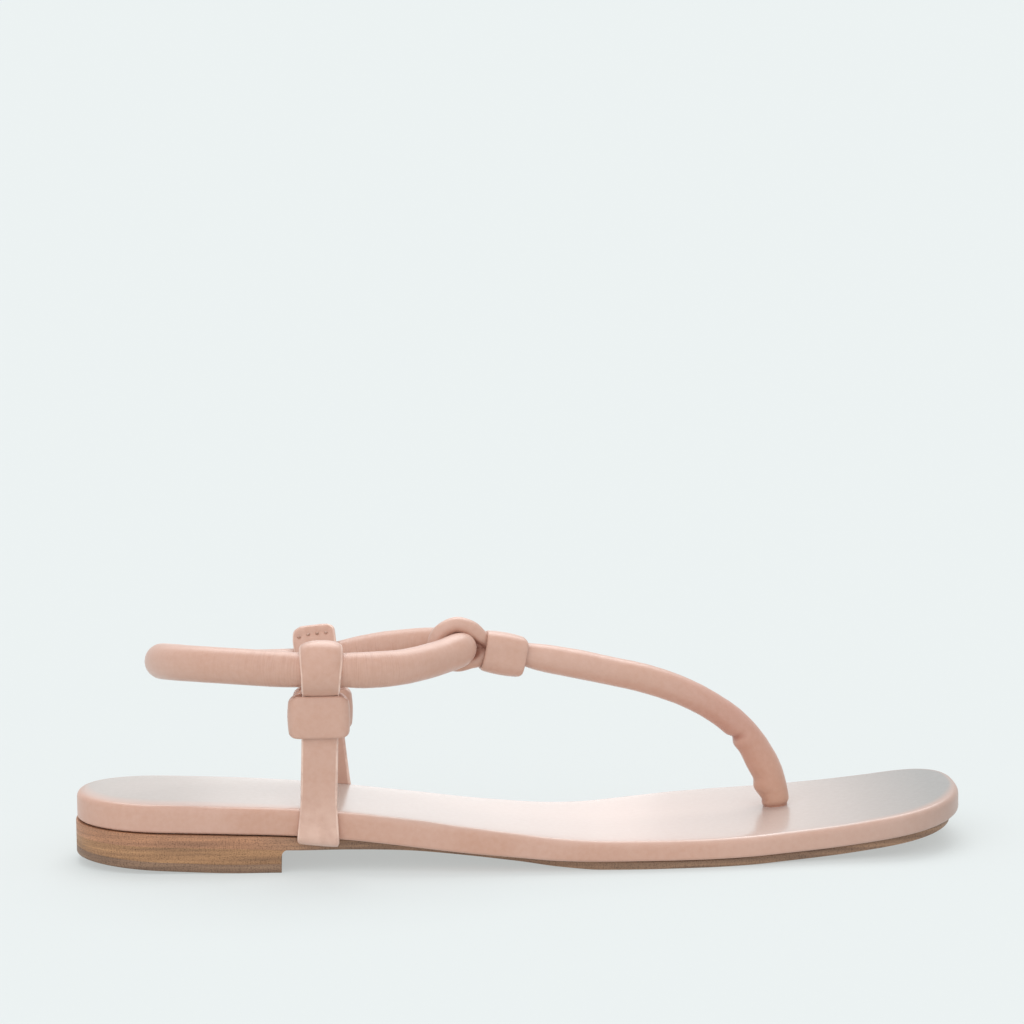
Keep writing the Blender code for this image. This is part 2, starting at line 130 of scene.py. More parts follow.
# %% Main light, fill light and gleam panels
Light = namedtuple("Light", "name source strength spread")
LIGHTS = [
    Light("main_light", Vector((0.1, 0.6, 1.0)), 1.3, 45.0),
    Light("fill_light", Vector((-0.3, -1.0, 0.7)), 1.0, 90.0),
]
Panel = namedtuple("Panel", "name at aim width height watts")
PANELS = [
    Panel("broad_gleam", (-0.005, 0.75, 0.19), (0.0, 0.0, 0.02), 0.32, 0.36, 0.12),
    Panel("narrow_gleam", (0.0, 0.74, 0.19), (0.0, 0.0, 0.02), 0.20, 0.36, 0.075),
    Panel("rim_gleam", (0.0, 0.80, 0.95), (0.0, 0.0, 0.05), 1.40, 0.80, 3.2),
]


def add_lamp(name, lamp, at, direction):
    """A lamp that is itself out of the picture."""
    fixture = bpy.data.objects.new(name, lamp)
    fixture.location = at
    fixture.rotation_euler = direction.to_track_quat("-Z", "Y").to_euler()
    fixture.visible_camera = False
    bpy.context.scene.collection.objects.link(fixture)
    return fixture


for light in LIGHTS:
    lamp = bpy.data.lights.new(light.name, "SUN")
    lamp.energy = light.strength
    lamp.angle = math.radians(light.spread)
    add_lamp(light.name, lamp, light.source, -light.source)
    print("light", light.name, light.strength)
for panel in PANELS:
    lamp = bpy.data.lights.new(panel.name, "AREA")
    lamp.shape = "RECTANGLE"
    lamp.size = panel.width
    lamp.size_y = panel.height
    lamp.energy = panel.watts
    gleam = add_lamp(panel.name, lamp, panel.at, Vector(panel.aim) - Vector(panel.at))
    gleam.visible_diffuse = False
    print("panel", panel.name, panel.watts, "W")

# %% [markdown]
# Before any piece there are four small tools. One joins rings of points by faces, and one turns points
# and faces into a smooth mesh with a map laid over it in millimetres, so that a finish can follow a
# strap's length or run along a sole's edge. One keeps a number for each point, such as how deep a
# crease is there. The last gives a finished piece its leather and lets it stand for its CAD solid.

# %% Tools: make a mesh, mark it, dress it
MAP_NAME = "lay"


def wall_faces(rings, sides, closed=False, start=0):
    """Faces between neighbouring rings of points; a closed wall comes back to its first ring."""
    faces = []
    for r in range(rings if closed else rings - 1):
        low, high = start + r * sides, start + (r + 1) % rings * sides
        for i in range(sides):
            j = (i + 1) % sides
            faces.append((low + i, low + j, high + j, high + i))
    return faces


def make_piece(name, verts, faces, lays, crisp=None):
    """A smooth mesh object; lays holds each face corner's place on the map, in millimetres."""
    mesh = bpy.data.meshes.new(name)
    mesh.from_pydata(verts, [], faces)
    layer = mesh.uv_layers.new(name=MAP_NAME)
    layer.data.foreach_set("uv", [value for lay in lays for corner in lay for value in corner])
    bm = bmesh.new()
    bm.from_mesh(mesh)
    bmesh.ops.recalc_face_normals(bm, faces=bm.faces)
    bm.to_mesh(mesh)
    bm.free()
    mesh.shade_smooth()
    if crisp:
        mesh.set_sharp_from_angle(angle=math.radians(crisp))
    piece = bpy.data.objects.new(name, mesh)
    bpy.context.scene.collection.objects.link(piece)
    return piece


def mark(piece, name, values):
    """Keep one number for each point of a piece, for its finish to read."""
    piece.data.attributes.new(name, "FLOAT", "POINT").data.foreach_set("value", values)


def dress(piece, finish, slot, *nodes):
    """Give a piece its leather, its place on the sandal, and the solids that it stands for."""
    piece.data.materials.append(finish)
    if nodes:
        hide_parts(*nodes)
    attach(piece, "root")
    print(piece.name, "made with", len(piece.data.polygons), "faces")


print("mesh tools ready")

# %% [markdown]
# A finish is a net of small nodes, and each has one task: a pattern, a place or a mix. These helpers
# add such nodes by name, so that every leather further down reads almost like a recipe. They are kept
# general, because eight leathers and a thread are mixed with them.

# %% Finish tools: patterns
def new_finish(name):
    """An empty leather: its material, its nodes' tree and its shader."""
    finish = bpy.data.materials.new(name)
    finish.use_nodes = True
    return finish, finish.node_tree, finish.node_tree.nodes["Principled BSDF"]


def fill(tree, node, **settings):
    """Set a node's sockets and options by name; what comes out of another node is linked."""
    for key, value in settings.items():
        socket = key.replace("_", " ").title().replace("Ior", "IOR")
        if socket not in node.inputs:
            setattr(node, key, value)
        elif isinstance(value, bpy.types.NodeSocket):
            tree.links.new(value, node.inputs[socket])
        else:
            node.inputs[socket].default_value = value
    return node


def add_node(tree, kind, **settings):
    """A new node, filled in."""
    return fill(tree, tree.nodes.new(kind), **settings)


def noise_on(tree, vector, scale, detail=3.0, roughness=0.55):
    """A noise laid over the given coordinates."""
    return add_node(tree, "ShaderNodeTexNoise", vector=vector, scale=scale, detail=detail,
                    roughness=roughness).outputs["Fac"]


def ramp_on(tree, value, *stops):
    """A colour for each level of a pattern: stops are (level, colour)."""
    ramp = add_node(tree, "ShaderNodeValToRGB", fac=value)
    while len(ramp.color_ramp.elements) < len(stops):
        ramp.color_ramp.elements.new(0.5)
    for element, (level, colour) in zip(ramp.color_ramp.elements, stops):
        element.position = level
        element.color = (*colour, 1.0)
    return ramp.outputs["Color"]


def range_on(tree, value, low, high, from_low=0.3, from_high=0.7):
    """A pattern brought to a range of numbers."""
    return add_node(tree, "ShaderNodeMapRange", value=value, from_min=from_low, from_max=from_high,
                    to_min=low, to_max=high).outputs["Result"]


print("pattern tools ready")

# %% Finish tools: places
def where_on(tree):
    """Where a point lies on the sandal, in the frame's metres."""
    return tree.nodes.new("ShaderNodeTexCoord").outputs["Object"]


def map_on(tree):
    """Where a point lies on its piece's own map, in millimetres."""
    return add_node(tree, "ShaderNodeUVMap", uv_map=MAP_NAME).outputs["UV"]


def stretched_on(tree, along, across):
    """A piece's own map, scaled along and across."""
    return add_node(tree, "ShaderNodeMapping", vector=map_on(tree),
                    scale=(along, across, 1.0)).outputs["Vector"]


def axis_on(tree, vector, axis):
    """One coordinate of a place or a direction."""
    return add_node(tree, "ShaderNodeSeparateXYZ", vector=vector).outputs[axis]


def marked_on(tree, name):
    """The number that a piece keeps for each of its points."""
    return add_node(tree, "ShaderNodeAttribute", attribute_name=name).outputs["Fac"]


print("place tools ready")

# %% Finish tools: mixes
def blend_on(tree, factor, first, second, how="MIX"):
    """Two colours mixed by a pattern, or by a plain share."""
    return add_node(tree, "ShaderNodeMix", data_type="RGBA", blend_type=how, factor=factor,
                    a=first, b=second).outputs["Result"]


def product_on(tree, first, second, how="MULTIPLY"):
    """Two patterns joined into one, point by point."""
    joined = add_node(tree, "ShaderNodeMath", operation=how)
    tree.links.new(first, joined.inputs[0])
    tree.links.new(second, joined.inputs[1])
    return joined.outputs[0]


def bump_on(tree, height, depth, strength, below=None):
    """A relief finer than the mesh, laid over another one if given."""
    bump = add_node(tree, "ShaderNodeBump", height=height, strength=strength, distance=depth)
    if below:
        fill(tree, bump, normal=below)
    return bump.outputs["Normal"]


def repaint(tree, shader, factor, tone, how="MULTIPLY"):
    """Lay a tone over a leather's present colour."""
    present = shader.inputs["Base Color"].links[0].from_socket
    fill(tree, shader, base_color=blend_on(tree, factor, present, tone, how))


print("mixing tools ready")

# %% [markdown]
# All the blush pieces are cut from one soft, smooth hide. Its colour drifts a little from place to
# place, its grain is very fine, and its shine is low and broad. Two noises of different size mix the
# colour, and a cell pattern under a third of a millimetre wide gives the pores. A crease gets a painted
# shade: the colour is darkened by how deep the crease is, where shadow would fall.

# %% Soft blush leather
PLAIN = (1.0, 1.0, 1.0)
BLUSH = (0.600, 0.362, 0.276)
BLUSH_WARM = (0.572, 0.328, 0.240)
BLUSH_PALE = (0.642, 0.410, 0.328)
DRIFT_SCALE = 45.0
FINE_SCALE = 700.0
PORE_SCALE = 3200.0
DRIFT_TONES = [(0.32, BLUSH_WARM), (0.5, BLUSH), (0.72, BLUSH_PALE)]
SPECK_TONES = [(0.3, BLUSH_WARM), (0.7, BLUSH_PALE)]
SPECK_SHARE = 0.36
CREASE_SPAN = (-0.7, -0.12)
PAINTED_CREASE_SHADE = (0.76, 0.60, 0.57)
SHINE = 0.42
SHINE_SPREAD = (-0.05, 0.06)
GRAIN = 0.14
CREPE_DEPTH = 0.0004
PORE_DEPTH = 0.00015
HIDE_GLOSS = 0.4
SHEEN = 0.12
SHEEN_ROUGHNESS = 0.5
COAT = 0.5
COAT_ROUGHNESS = 0.3


def soft_leather(name, shine=SHINE, grain=GRAIN, coat=COAT, coat_roughness=COAT_ROUGHNESS):
    """Smooth blush hide: drifting colour, painted shade in creases, fine pores and a low broad shine.
    """
    finish, tree, shader = new_finish(name)
    where = where_on(tree)
    drift = noise_on(tree, where, DRIFT_SCALE, detail=4.0)
    fine = noise_on(tree, where, FINE_SCALE, detail=2.0)
    pores = add_node(tree, "ShaderNodeTexVoronoi", vector=where, scale=PORE_SCALE).outputs["Distance"]
    base = ramp_on(tree, drift, *DRIFT_TONES)
    speck = ramp_on(tree, fine, *SPECK_TONES)
    creped = bump_on(tree, fine, CREPE_DEPTH, grain)
    fill(tree, shader, base_color=blend_on(tree, SPECK_SHARE, base, speck),
         roughness=range_on(tree, fine, shine + SHINE_SPREAD[0], shine + SHINE_SPREAD[1]),
         normal=bump_on(tree, pores, PORE_DEPTH, grain, creped),
         specular_ior_level=HIDE_GLOSS, sheen_weight=SHEEN, sheen_roughness=SHEEN_ROUGHNESS,
         coat_weight=coat, coat_roughness=coat_roughness)
    # Painted shade: the colour darkens with the depth of each crease, dent or hollow.
    crease_shade_share = range_on(tree, marked_on(tree, "relief"), 1.0, 0.0, *CREASE_SPAN)
    repaint(tree, shader, 1.0, ramp_on(tree, crease_shade_share, (0.0, PLAIN), (1.0, PAINTED_CREASE_SHADE)))
    return finish, tree, shader


strap_leather = soft_leather("strap_leather")[0]
print("made", strap_leather.name)

# %% [markdown]
# The footbed is wrapped in the same hide, but its top is polished by a clear finish. Seen at a low
# angle it is almost a mirror, so a clear coat lies over the leather, thinner at both ends. The top's
# colour is a greyed pink, pinkest at the ball and grey toward the heel and the toe: partly a tone of
# its own, partly a painted reflection of a darker surround. Where the leather turns down over the edge,
# the tone of the straps comes back, and some of the toe tip's painted grey reflection runs out into it.

# %% Polished footbed leather
TOP_TONES_AND_REFLECTION = [(0.0, (0.44, 0.40, 0.37)), (0.3, (0.52, 0.437, 0.39)), (0.62, (0.645, 0.468, 0.402)),
             (0.8, (0.52, 0.42, 0.375)), (0.97, (0.30, 0.295, 0.285))]
POLISH = [(0.0, (0.45, 0.45, 0.45)), (0.3, PLAIN), (0.75, PLAIN), (0.97, (0.4, 0.4, 0.4))]
TOP_SPAN = (0.86, 0.985)
EDGE_POLISH = 0.2
TIP_SPAN = (0.68, 0.98)
TIP_REFLECTION_SHARE = 0.4
HALF_LENGTH = 0.125
FOOTBED_GRAIN = 0.02
FOOTBED_GLOSS = 0.2
POLISH_ROUGHNESS = 0.2

footbed_leather, tree, shader = soft_leather("footbed_leather", grain=FOOTBED_GRAIN,
                                             coat_roughness=POLISH_ROUGHNESS)
heel_to_toe = range_on(tree, axis_on(tree, where_on(tree), "X"), 0.0, 1.0, -HALF_LENGTH, HALF_LENGTH)
# Painted reflection: grey top tones toward the heel and the toe, and some over the toe tip's edge.
toe_tip_reflection = range_on(tree, heel_to_toe, 0.0, TIP_REFLECTION_SHARE, *TIP_SPAN)
on_top = product_on(tree, marked_on(tree, "inland"), toe_tip_reflection, "MAXIMUM")
repaint(tree, shader, on_top, ramp_on(tree, heel_to_toe, *TOP_TONES_AND_REFLECTION), "MIX")
facing = tree.nodes.new("ShaderNodeNewGeometry").outputs["Normal"]
upward = range_on(tree, axis_on(tree, facing, "Z"), EDGE_POLISH, 1.0, *TOP_SPAN)
polish = product_on(tree, upward, ramp_on(tree, heel_to_toe, *POLISH))
fill(tree, shader, coat_weight=polish, specular_ior_level=FOOTBED_GLOSS)
print("made", footbed_leather.name)

# %% [markdown]
# The sole and heel are thick brown leather, cut, stained and burnished. A cut edge shows the hide's
# fibres: dark flecks, short scratches from the knife and the brush, and long streaks where the stain
# went on. The streaks follow the edge, so this finish reads the map that is laid along it.

# %% Burnished sole leather
STREAK_STRETCH = (0.035, 0.9)
STREAK_LEVELS = (0.3, 0.5, 0.68)
FLECK_STRETCH = (2.2, 3.4)
SCRATCH_STRETCH = (3.6, 0.5)
FLECKS = [(0.34, (0.3, 0.3, 0.3)), (0.46, (0.9, 0.9, 0.9)), (0.62, PLAIN)]
SCRATCHES = [(0.32, (0.62, 0.6, 0.58)), (0.5, PLAIN)]
FLECK_SHARE = 0.75
SCRATCH_SHARE = 0.6
SOLE_ROUGHNESS = (0.62, 0.42)
SCRATCH_RELIEF = (0.0003, 0.35)
FLECK_RELIEF = (0.0002, 0.4)
SOLE_GLOSS = 0.35
Brown = namedtuple("Brown", "dark middle pale")
OUTSOLE_BROWN = Brown((0.335, 0.175, 0.106), (0.475, 0.24, 0.137), (0.61, 0.303, 0.166))
HEEL_BROWN = Brown((0.295, 0.165, 0.092), (0.42, 0.226, 0.115), (0.56, 0.305, 0.15))
TOP_PIECE_BROWN = Brown((0.20, 0.125, 0.087), (0.285, 0.172, 0.112), (0.37, 0.23, 0.145))


def sole_leather(name, brown):
    """Burnished brown leather edge: streaks along the edge, flecks and short upright scratches."""
    finish, tree, shader = new_finish(name)
    streak = noise_on(tree, stretched_on(tree, *STREAK_STRETCH), 1.0, detail=5.0)
    fleck = noise_on(tree, stretched_on(tree, *FLECK_STRETCH), 1.0, detail=3.0)
    scratch = noise_on(tree, stretched_on(tree, *SCRATCH_STRETCH), 1.0, detail=2.0)
    worn = bump_on(tree, scratch, *SCRATCH_RELIEF)
    fill(tree, shader, base_color=ramp_on(tree, streak, *zip(STREAK_LEVELS, brown)),
         roughness=range_on(tree, streak, *SOLE_ROUGHNESS),
         normal=bump_on(tree, fleck, *FLECK_RELIEF, worn), specular_ior_level=SOLE_GLOSS)
    repaint(tree, shader, FLECK_SHARE, ramp_on(tree, fleck, *FLECKS))
    repaint(tree, shader, SCRATCH_SHARE, ramp_on(tree, scratch, *SCRATCHES))
    return finish, tree, shader


heel_leather = sole_leather("heel_leather", HEEL_BROWN)[0]
top_piece_leather = sole_leather("top_piece_leather", TOP_PIECE_BROWN)[0]
print("made", heel_leather.name, "and", top_piece_leather.name)

# %% [markdown]
# From the heel forward the outsole's colour is darker, so that its thin edge hardly shows beside the
# pale footbed. The darkening begins just before the end of the heel.

# %% Darker toward the toe
DARKENING_SPAN = (-0.078, -0.055)
FORWARD_DARKENING = (0.70, 0.845, 0.965)

outsole_leather, tree, shader = sole_leather("outsole_leather", OUTSOLE_BROWN)
forward_share = range_on(tree, axis_on(tree, where_on(tree), "X"), 0.0, 1.0, *DARKENING_SPAN)
repaint(tree, shader, 1.0, ramp_on(tree, forward_share, (0.0, PLAIN), (1.0, FORWARD_DARKENING)))
print("made", outsole_leather.name)

# %% [markdown]
# The sole's form comes from sections, as a last maker gives them: at each distance from the heel the
# two edges of the footbed, the height of its top, its thickness, and the outsole below. A smooth
# curve through each column gives the arch, the toe spring and the waist without any bumps.

# %% Sections of the sole
Section = namedtuple("Section", "x lateral medial top thick inset under")
SECTIONS = [Section(*row) for row in (
    (0, -26.0, 20.6, 20.15, 7.8, -0.4, 8.35),
    (26, -26.2, 20.8, 19.05, 7.7, -0.4, 7.35),
    (42, -27.0, 20.2, 18.45, 7.6, -0.4, 6.85),
    (58, -27.7, 17.8, 17.85, 7.6, -0.3, 6.35),
    (75, -29.3, 14.9, 16.75, 7.7, 2.6, 5.95),
    (92, -31.8, 12.8, 15.05, 7.7, 6.4, 5.1),
    (108, -34.0, 13.2, 12.85, 7.3, 8.0, 3.5),
    (122, -35.2, 15.4, 10.95, 6.7, 7.2, 2.0),
    (134, -35.7, 19.6, 9.3, 6.2, 4.6, 0.7),
    (146, -35.8, 25.2, 8.35, 5.7, 2.6, 0.0),
    (160, -35.7, 32.6, 8.1, 5.6, 1.8, 0.0),
    (174, -35.0, 38.4, 8.05, 5.6, 1.8, 0.0),
    (186, -33.6, 40.4, 8.3, 5.7, 1.9, 0.1),
    (198, -31.2, 40.8, 8.85, 5.8, 2.1, 0.55),
    (210, -29.4, 40.2, 9.7, 5.9, 2.3, 1.3),
    (222, -28.2, 38.8, 11.05, 6.0, 2.5, 2.55),
    (234, -26.8, 37.4, 12.7, 6.1, 2.6, 4.1),
    (250, -25.0, 35.8, 15.5, 6.3, 2.6, 6.7),
)]


def along_sole(column):
    """A smooth curve through one column of the sections, with no overshoot."""
    xs = [row.x for row in SECTIONS]
    ys = [getattr(row, column) for row in SECTIONS]
    steps = [(ys[i + 1] - ys[i]) / (xs[i + 1] - xs[i]) for i in range(len(xs) - 1)]
    slopes = [steps[0]]
    for before, after in zip(steps, steps[1:]):
        slopes.append(0.0 if before * after <= 0 else 2 * before * after / (before + after))
    slopes.append(steps[-1])

    def value(x):
        x = min(max(x, xs[0]), xs[-1])
        i = max(k for k in range(len(xs) - 1) if xs[k] <= x)
        span = xs[i + 1] - xs[i]
        t = (x - xs[i]) / span
        ease = t * t * (3 - 2 * t)
        bend = t * (1 - t) * ((1 - t) * slopes[i] - t * slopes[i + 1]) * span
        return ys[i] * (1 - ease) + ys[i + 1] * ease + bend

    return value


SEAM = 0.3
BALL_X = 160.0
footbed_top = along_sole("top")
footbed_thick = along_sole("thick")
lateral_edge = along_sole("lateral")
medial_edge = along_sole("medial")
outsole_inset = along_sole("inset")
outsole_under = along_sole("under")


def share(value, low, high):
    """Where a value stands between two others, from 0 to 1."""
    return min(max((value - low) / (high - low), 0.0), 1.0)


def footbed_under(x):
    return footbed_top(x) - footbed_thick(x)


def outsole_top(x):
    return footbed_under(x) - SEAM


print("footbed top:", round(footbed_top(0), 1), "mm at the heel,", footbed_top(BALL_X), "at the ball")

# %% [markdown]
# Seen from above, the heel is a round end and the toe a squared one with soft corners. Both are
# closed by a rounded curve, and the outline is then one loop: out along the outer edge and back along
# the inner one. Every layer of the sole is this loop moved in or out a little.

# %% Plan outline
LENGTH = 250.0
STATIONS = 150
HEEL_ROUND = 26.0
HEEL_ROUND_POWER = 2.2
HEEL_CENTRE_Y = -3.0
TOE_TIP_Y = 10.0
CUT_GAP = 0.5
TOE_CORNERS = {"lateral": (222.0, 2.7), "medial": (231.0, 2.5)}


def rounded_to(middle, y, part, power):
    """An edge drawn in toward the middle of an end: not at all at part 0, fully at part 1."""
    return middle + (y - middle) * max(0.0, 1 - part ** power) ** (1 / power)


def plan_y(x, edge, corner):
    """Edge of the footbed in plan, closed by the round heel and the squared toe."""
    y = edge(x)
    toe_start, toe_power = TOE_CORNERS[corner]
    if x < HEEL_ROUND:
        y = rounded_to(HEEL_CENTRE_Y, y, 1 - x / HEEL_ROUND, HEEL_ROUND_POWER)
    if x > toe_start:
        y = rounded_to(TOE_TIP_Y, y, share(x, toe_start, LENGTH), toe_power)
    return y


def plan_ring(last_x):
    """The outline from the back of the heel along the outer edge and back along the inner one."""
    xs = [LENGTH / 2 * (1 - math.cos(math.pi * i / STATIONS)) for i in range(STATIONS + 1)]
    if last_x < LENGTH:
        xs = [x for x in xs if x < last_x - CUT_GAP] + [last_x]
    outer = [(x, plan_y(x, lateral_edge, "lateral")) for x in xs]
    inner = [(x, plan_y(x, medial_edge, "medial")) for x in xs]
    last = len(xs) - 1 if last_x < LENGTH else len(xs) - 2
    return outer + inner[last:0:-1]


def moved_in(ring, distance, blunt):
    """The outline moved inward; a blunt end keeps its front and moves along its two sides."""
    count = len(ring)
    moved = []
    for i, (x, y) in enumerate(ring):
        before = Vector(ring[i - 1])
        after = Vector(ring[(i + 1) % count])
        if blunt and i == count // 2:
            after = Vector((x, y))
        if blunt and i == count // 2 + 1:
            before = Vector((x, y))
        along = (after - before).normalized()
        step = distance(x)
        moved.append((x - along.y * step, y + along.x * step))
    return moved


print("outline has", len(plan_ring(LENGTH)), "points")

# %% [markdown]
# Each sole layer is built like a real one: a wall that follows the outline and two faces across.
# The wall's edges are rolled by a quarter round, because a wrapped or burnished edge is never sharp.
# The faces are grids of strips from side to side, so that they can be cushioned or pressed in.

# %% Rolled edges
EdgeRow = namedtuple("EdgeRow", "inside face height")


def rolled_edge(top_reach, top_drop, under_reach, under_rise, steps=6):
    """Edge rows from the underside to the top: a quarter round, a straight wall, a quarter round."""
    turns = [math.pi / 2 * i / steps for i in range(steps + 1)]
    lower = [EdgeRow(under_reach * (1 - math.sin(t)), "under", under_rise * (1 - math.cos(t)))
             for t in turns]
    upper = [EdgeRow(top_reach * (1 - math.cos(t)), "top", -top_drop * (1 - math.sin(t)))
             for t in turns]
    return lower + upper


print("a rolled edge has", len(rolled_edge(1, 1, 1, 1)), "rows up its wall")

# %% A layer of the sole
def lengths_along(route, closed):
    """Distance from the first point to each one, and round to the first again if closed."""
    total = [0.0]
    for here, there in zip(route, route[1:] + route[:1] if closed else route[1:]):
        total.append(total[-1] + (there - here).length)
    return total


def sole_layer(name, edge_rows, top, under, inset, last_x=LENGTH, strips=26,
               relief=None, crisp=None, cove=None):
    """A layer of the sole; relief lowers its top face, cove carries its blunt front forward."""
    blunt = last_x < LENGTH
    outline = plan_ring(last_x)
    count = len(outline)
    girth = lengths_along([Vector(point) for point in outline], True)
    rings = []
    for row in edge_rows:
        ring = []
        face = top if row.face == "top" else under
        for x, y in moved_in(outline, lambda x: inset(x) + row.inside, blunt):
            x = min(x, last_x) if blunt else x
            z = face(x) + row.height
            if cove:
                x += cove(x, z)
            ring.append((x, y, z))
        rings.append(ring)
    points = [point for ring in rings for point in ring]
    faces = wall_faces(len(rings), count)
    lays = []
    for lower, upper in zip(rings, rings[1:]):
        for i in range(count):
            j = (i + 1) % count
            lays.append([(girth[i], lower[i][2]), (girth[i + 1], lower[j][2]),
                         (girth[i + 1], upper[j][2]), (girth[i], upper[i][2])])
    for base, on_top in ((0, False), ((len(rings) - 1) * count, True)):
        rows = [[base]]
        for i in range(1, (count + 1) // 2):
            near, far = Vector(points[base + i]), Vector(points[base + count - i])
            row = [base + i]
            for s in range(1, strips):
                x, y, z = near.lerp(far, s / strips)
                row.append(len(points))
                points.append((x, y, (top(x) - relief(x, y)) if on_top and relief else z))
            rows.append(row + [base + count - i])
        if not blunt:
            rows.append([base + count // 2])
        for near_row, far_row in zip(rows, rows[1:]):
            for s in range(strips):
                corners = [near_row[min(s, len(near_row) - 1)], near_row[min(s + 1, len(near_row) - 1)],
                           far_row[min(s + 1, len(far_row) - 1)], far_row[min(s, len(far_row) - 1)]]
                corners = list(dict.fromkeys(corners))
                faces.append(corners)
                lays.append([points[c][:2] for c in corners])
    return make_piece(name, [place(*point) for point in points], faces, lays, crisp)


whole_round = lengths_along([Vector(point) for point in plan_ring(LENGTH)], True)[-1]
print("the sole's outline is", round(whole_round), "mm round")

# %% [markdown]
# The footbed is a board with a thin cushion under its leather. Its top falls away softly toward the
# edge. The toe post goes down through a slot, where the leather is drawn in around it. The slot lies
# in the upright plane of the T-strap, so that plane is laid down first.

# %% Plane of the T-strap
T_PLANE_ORIGIN = (107.2, -4.0)
T_PLANE_TURN = math.radians(7.9)
SLOT_ALONG = 92.0


def t_plane(along, z):
    """A point of the upright plane that the T-strap lies in, in millimetres."""
    return Vector((T_PLANE_ORIGIN[0] + along * math.cos(T_PLANE_TURN),
                   T_PLANE_ORIGIN[1] + along * math.sin(T_PLANE_TURN), z))


SLOT_CENTRE = t_plane(SLOT_ALONG, 0.0)
print("toe slot is at", [round(v, 1) for v in SLOT_CENTRE[:2]])

# %% Footbed
FOOTBED_EDGE_DROP = 1.9
FOOTBED_EDGE = rolled_edge(top_reach=2.1, top_drop=FOOTBED_EDGE_DROP, under_reach=1.0, under_rise=0.9)
CUSHION_FALL = 0.35
CUSHION_REACH = 4.0
SLOT_DRAW = 0.25
SLOT_REACH = 3.2
SLOT_RADIUS = 3.9
outline_tree = kdtree.KDTree(len(plan_ring(LENGTH)))
for index, (x, y) in enumerate(plan_ring(LENGTH)):
    outline_tree.insert((x, y, 0.0), index)
outline_tree.balance()


def edge_distance(x, y):
    """How far a point of the footbed lies from its outline in plan."""
    return outline_tree.find((x, y, 0.0))[2]


def footbed_relief(x, y):
    """How far the footbed's top lies below its section height."""
    from_slot = max(0.0, math.dist((x, y), SLOT_CENTRE[:2]) - SLOT_RADIUS)
    at_rim = math.exp(-FOOTBED_EDGE[-1].inside / CUSHION_REACH)
    rim = CUSHION_FALL * (math.exp(-edge_distance(x, y) / CUSHION_REACH) - at_rim)
    return rim + SLOT_DRAW * math.exp(-(from_slot / SLOT_REACH) ** 2)


footbed = sole_layer("footbed", FOOTBED_EDGE, footbed_top, footbed_under, lambda x: 0.0,
                     relief=footbed_relief)
print("footbed has", len(footbed.data.vertices), "points")

# %% [markdown]
# Each point of the footbed keeps how far inland it lies, because the top's tones, with their painted
# reflection, read that. They start sharply along most of the edge, and slowly at the outer side of the
# heel and toe.

# %% Where the top's tones start
EDGE_CRISP = 2.4
EDGE_FADE = 8.0
TOE_FADE = 0.5
OUTER_FADES = (-22.0, 4.0)
HEEL_FADES = (30.0, 85.0)
TOE_FADES = (215.0, 245.0)

inland = []
for vertex in footbed.data.vertices:
    x, y, z = vertex.co / MM + FRAME_ORIGIN
    ends = 1 - share(x, *HEEL_FADES) + TOE_FADE * share(x, *TOE_FADES)
    fade = EDGE_CRISP + EDGE_FADE * ends * (1 - share(y, *OUTER_FADES))
    on_face = z > footbed_top(x) - FOOTBED_EDGE_DROP
    inland.append(share(edge_distance(x, y), 0.0, fade) if on_face else 0.0)
mark(footbed, "inland", inland)
dress(footbed, footbed_leather, "footbed_leather", "footbed")

# %% [markdown]
# The outsole is one thickness of brown leather, set in under the waist so that it hardly shows there,
# and level with the footbed at the heel. Its wall is nearly straight with lightly broken corners, as
# an edge-trimming wheel leaves it.

# %% Outsole
BROKEN_CORNER = 0.2
OUTSOLE_EDGE = rolled_edge(top_reach=0.35, top_drop=0.3, under_reach=BROKEN_CORNER,
                           under_rise=BROKEN_CORNER, steps=4)
outsole = sole_layer("outsole", OUTSOLE_EDGE, outsole_top, outsole_under, outsole_inset, strips=10)
dress(outsole, outsole_leather, "outsole_leather", "outsole")

# %% [markdown]
# The heel is two layers: a thick lift and a thinner top piece that meets the floor. Its back edge is
# worn up a little. The front, which shoemakers call the breast, is cut straight down and runs into
# the outsole by a small cove at its top.

# %% Heel
HEEL_LENGTH = 57.2
HEEL_STRIKE_LENGTH = 46.0
HEEL_STRIKE_LIFT = 2.6
HEEL_STRIKE_POWER = 1.5
TOP_PIECE_THICK = 2.5
COVE_RADIUS = 2.2
BREAST_DEPTH = 6.0
HEEL_CRISP = 40
CLOSE_CORNER = 0.03


def heel_ground(x):
    """Underside of the heel: flat, with its back edge worn up a little."""
    reach = max(0.0, 1 - x / HEEL_STRIKE_LENGTH)
    return HEEL_STRIKE_LIFT * reach ** HEEL_STRIKE_POWER


def heel_top(x):
    return outsole_under(x) + BROKEN_CORNER


def lift_under(x):
    return heel_ground(x) + TOP_PIECE_THICK


def breast_cove(x, z):
    """How far the breast comes forward where it nears the outsole."""
    near = share(x, HEEL_LENGTH - BREAST_DEPTH, HEEL_LENGTH)
    below = min(max(heel_top(HEEL_LENGTH) - z, 0.0), COVE_RADIUS)
    return near * (COVE_RADIUS - math.sqrt(COVE_RADIUS ** 2 - (COVE_RADIUS - below) ** 2))


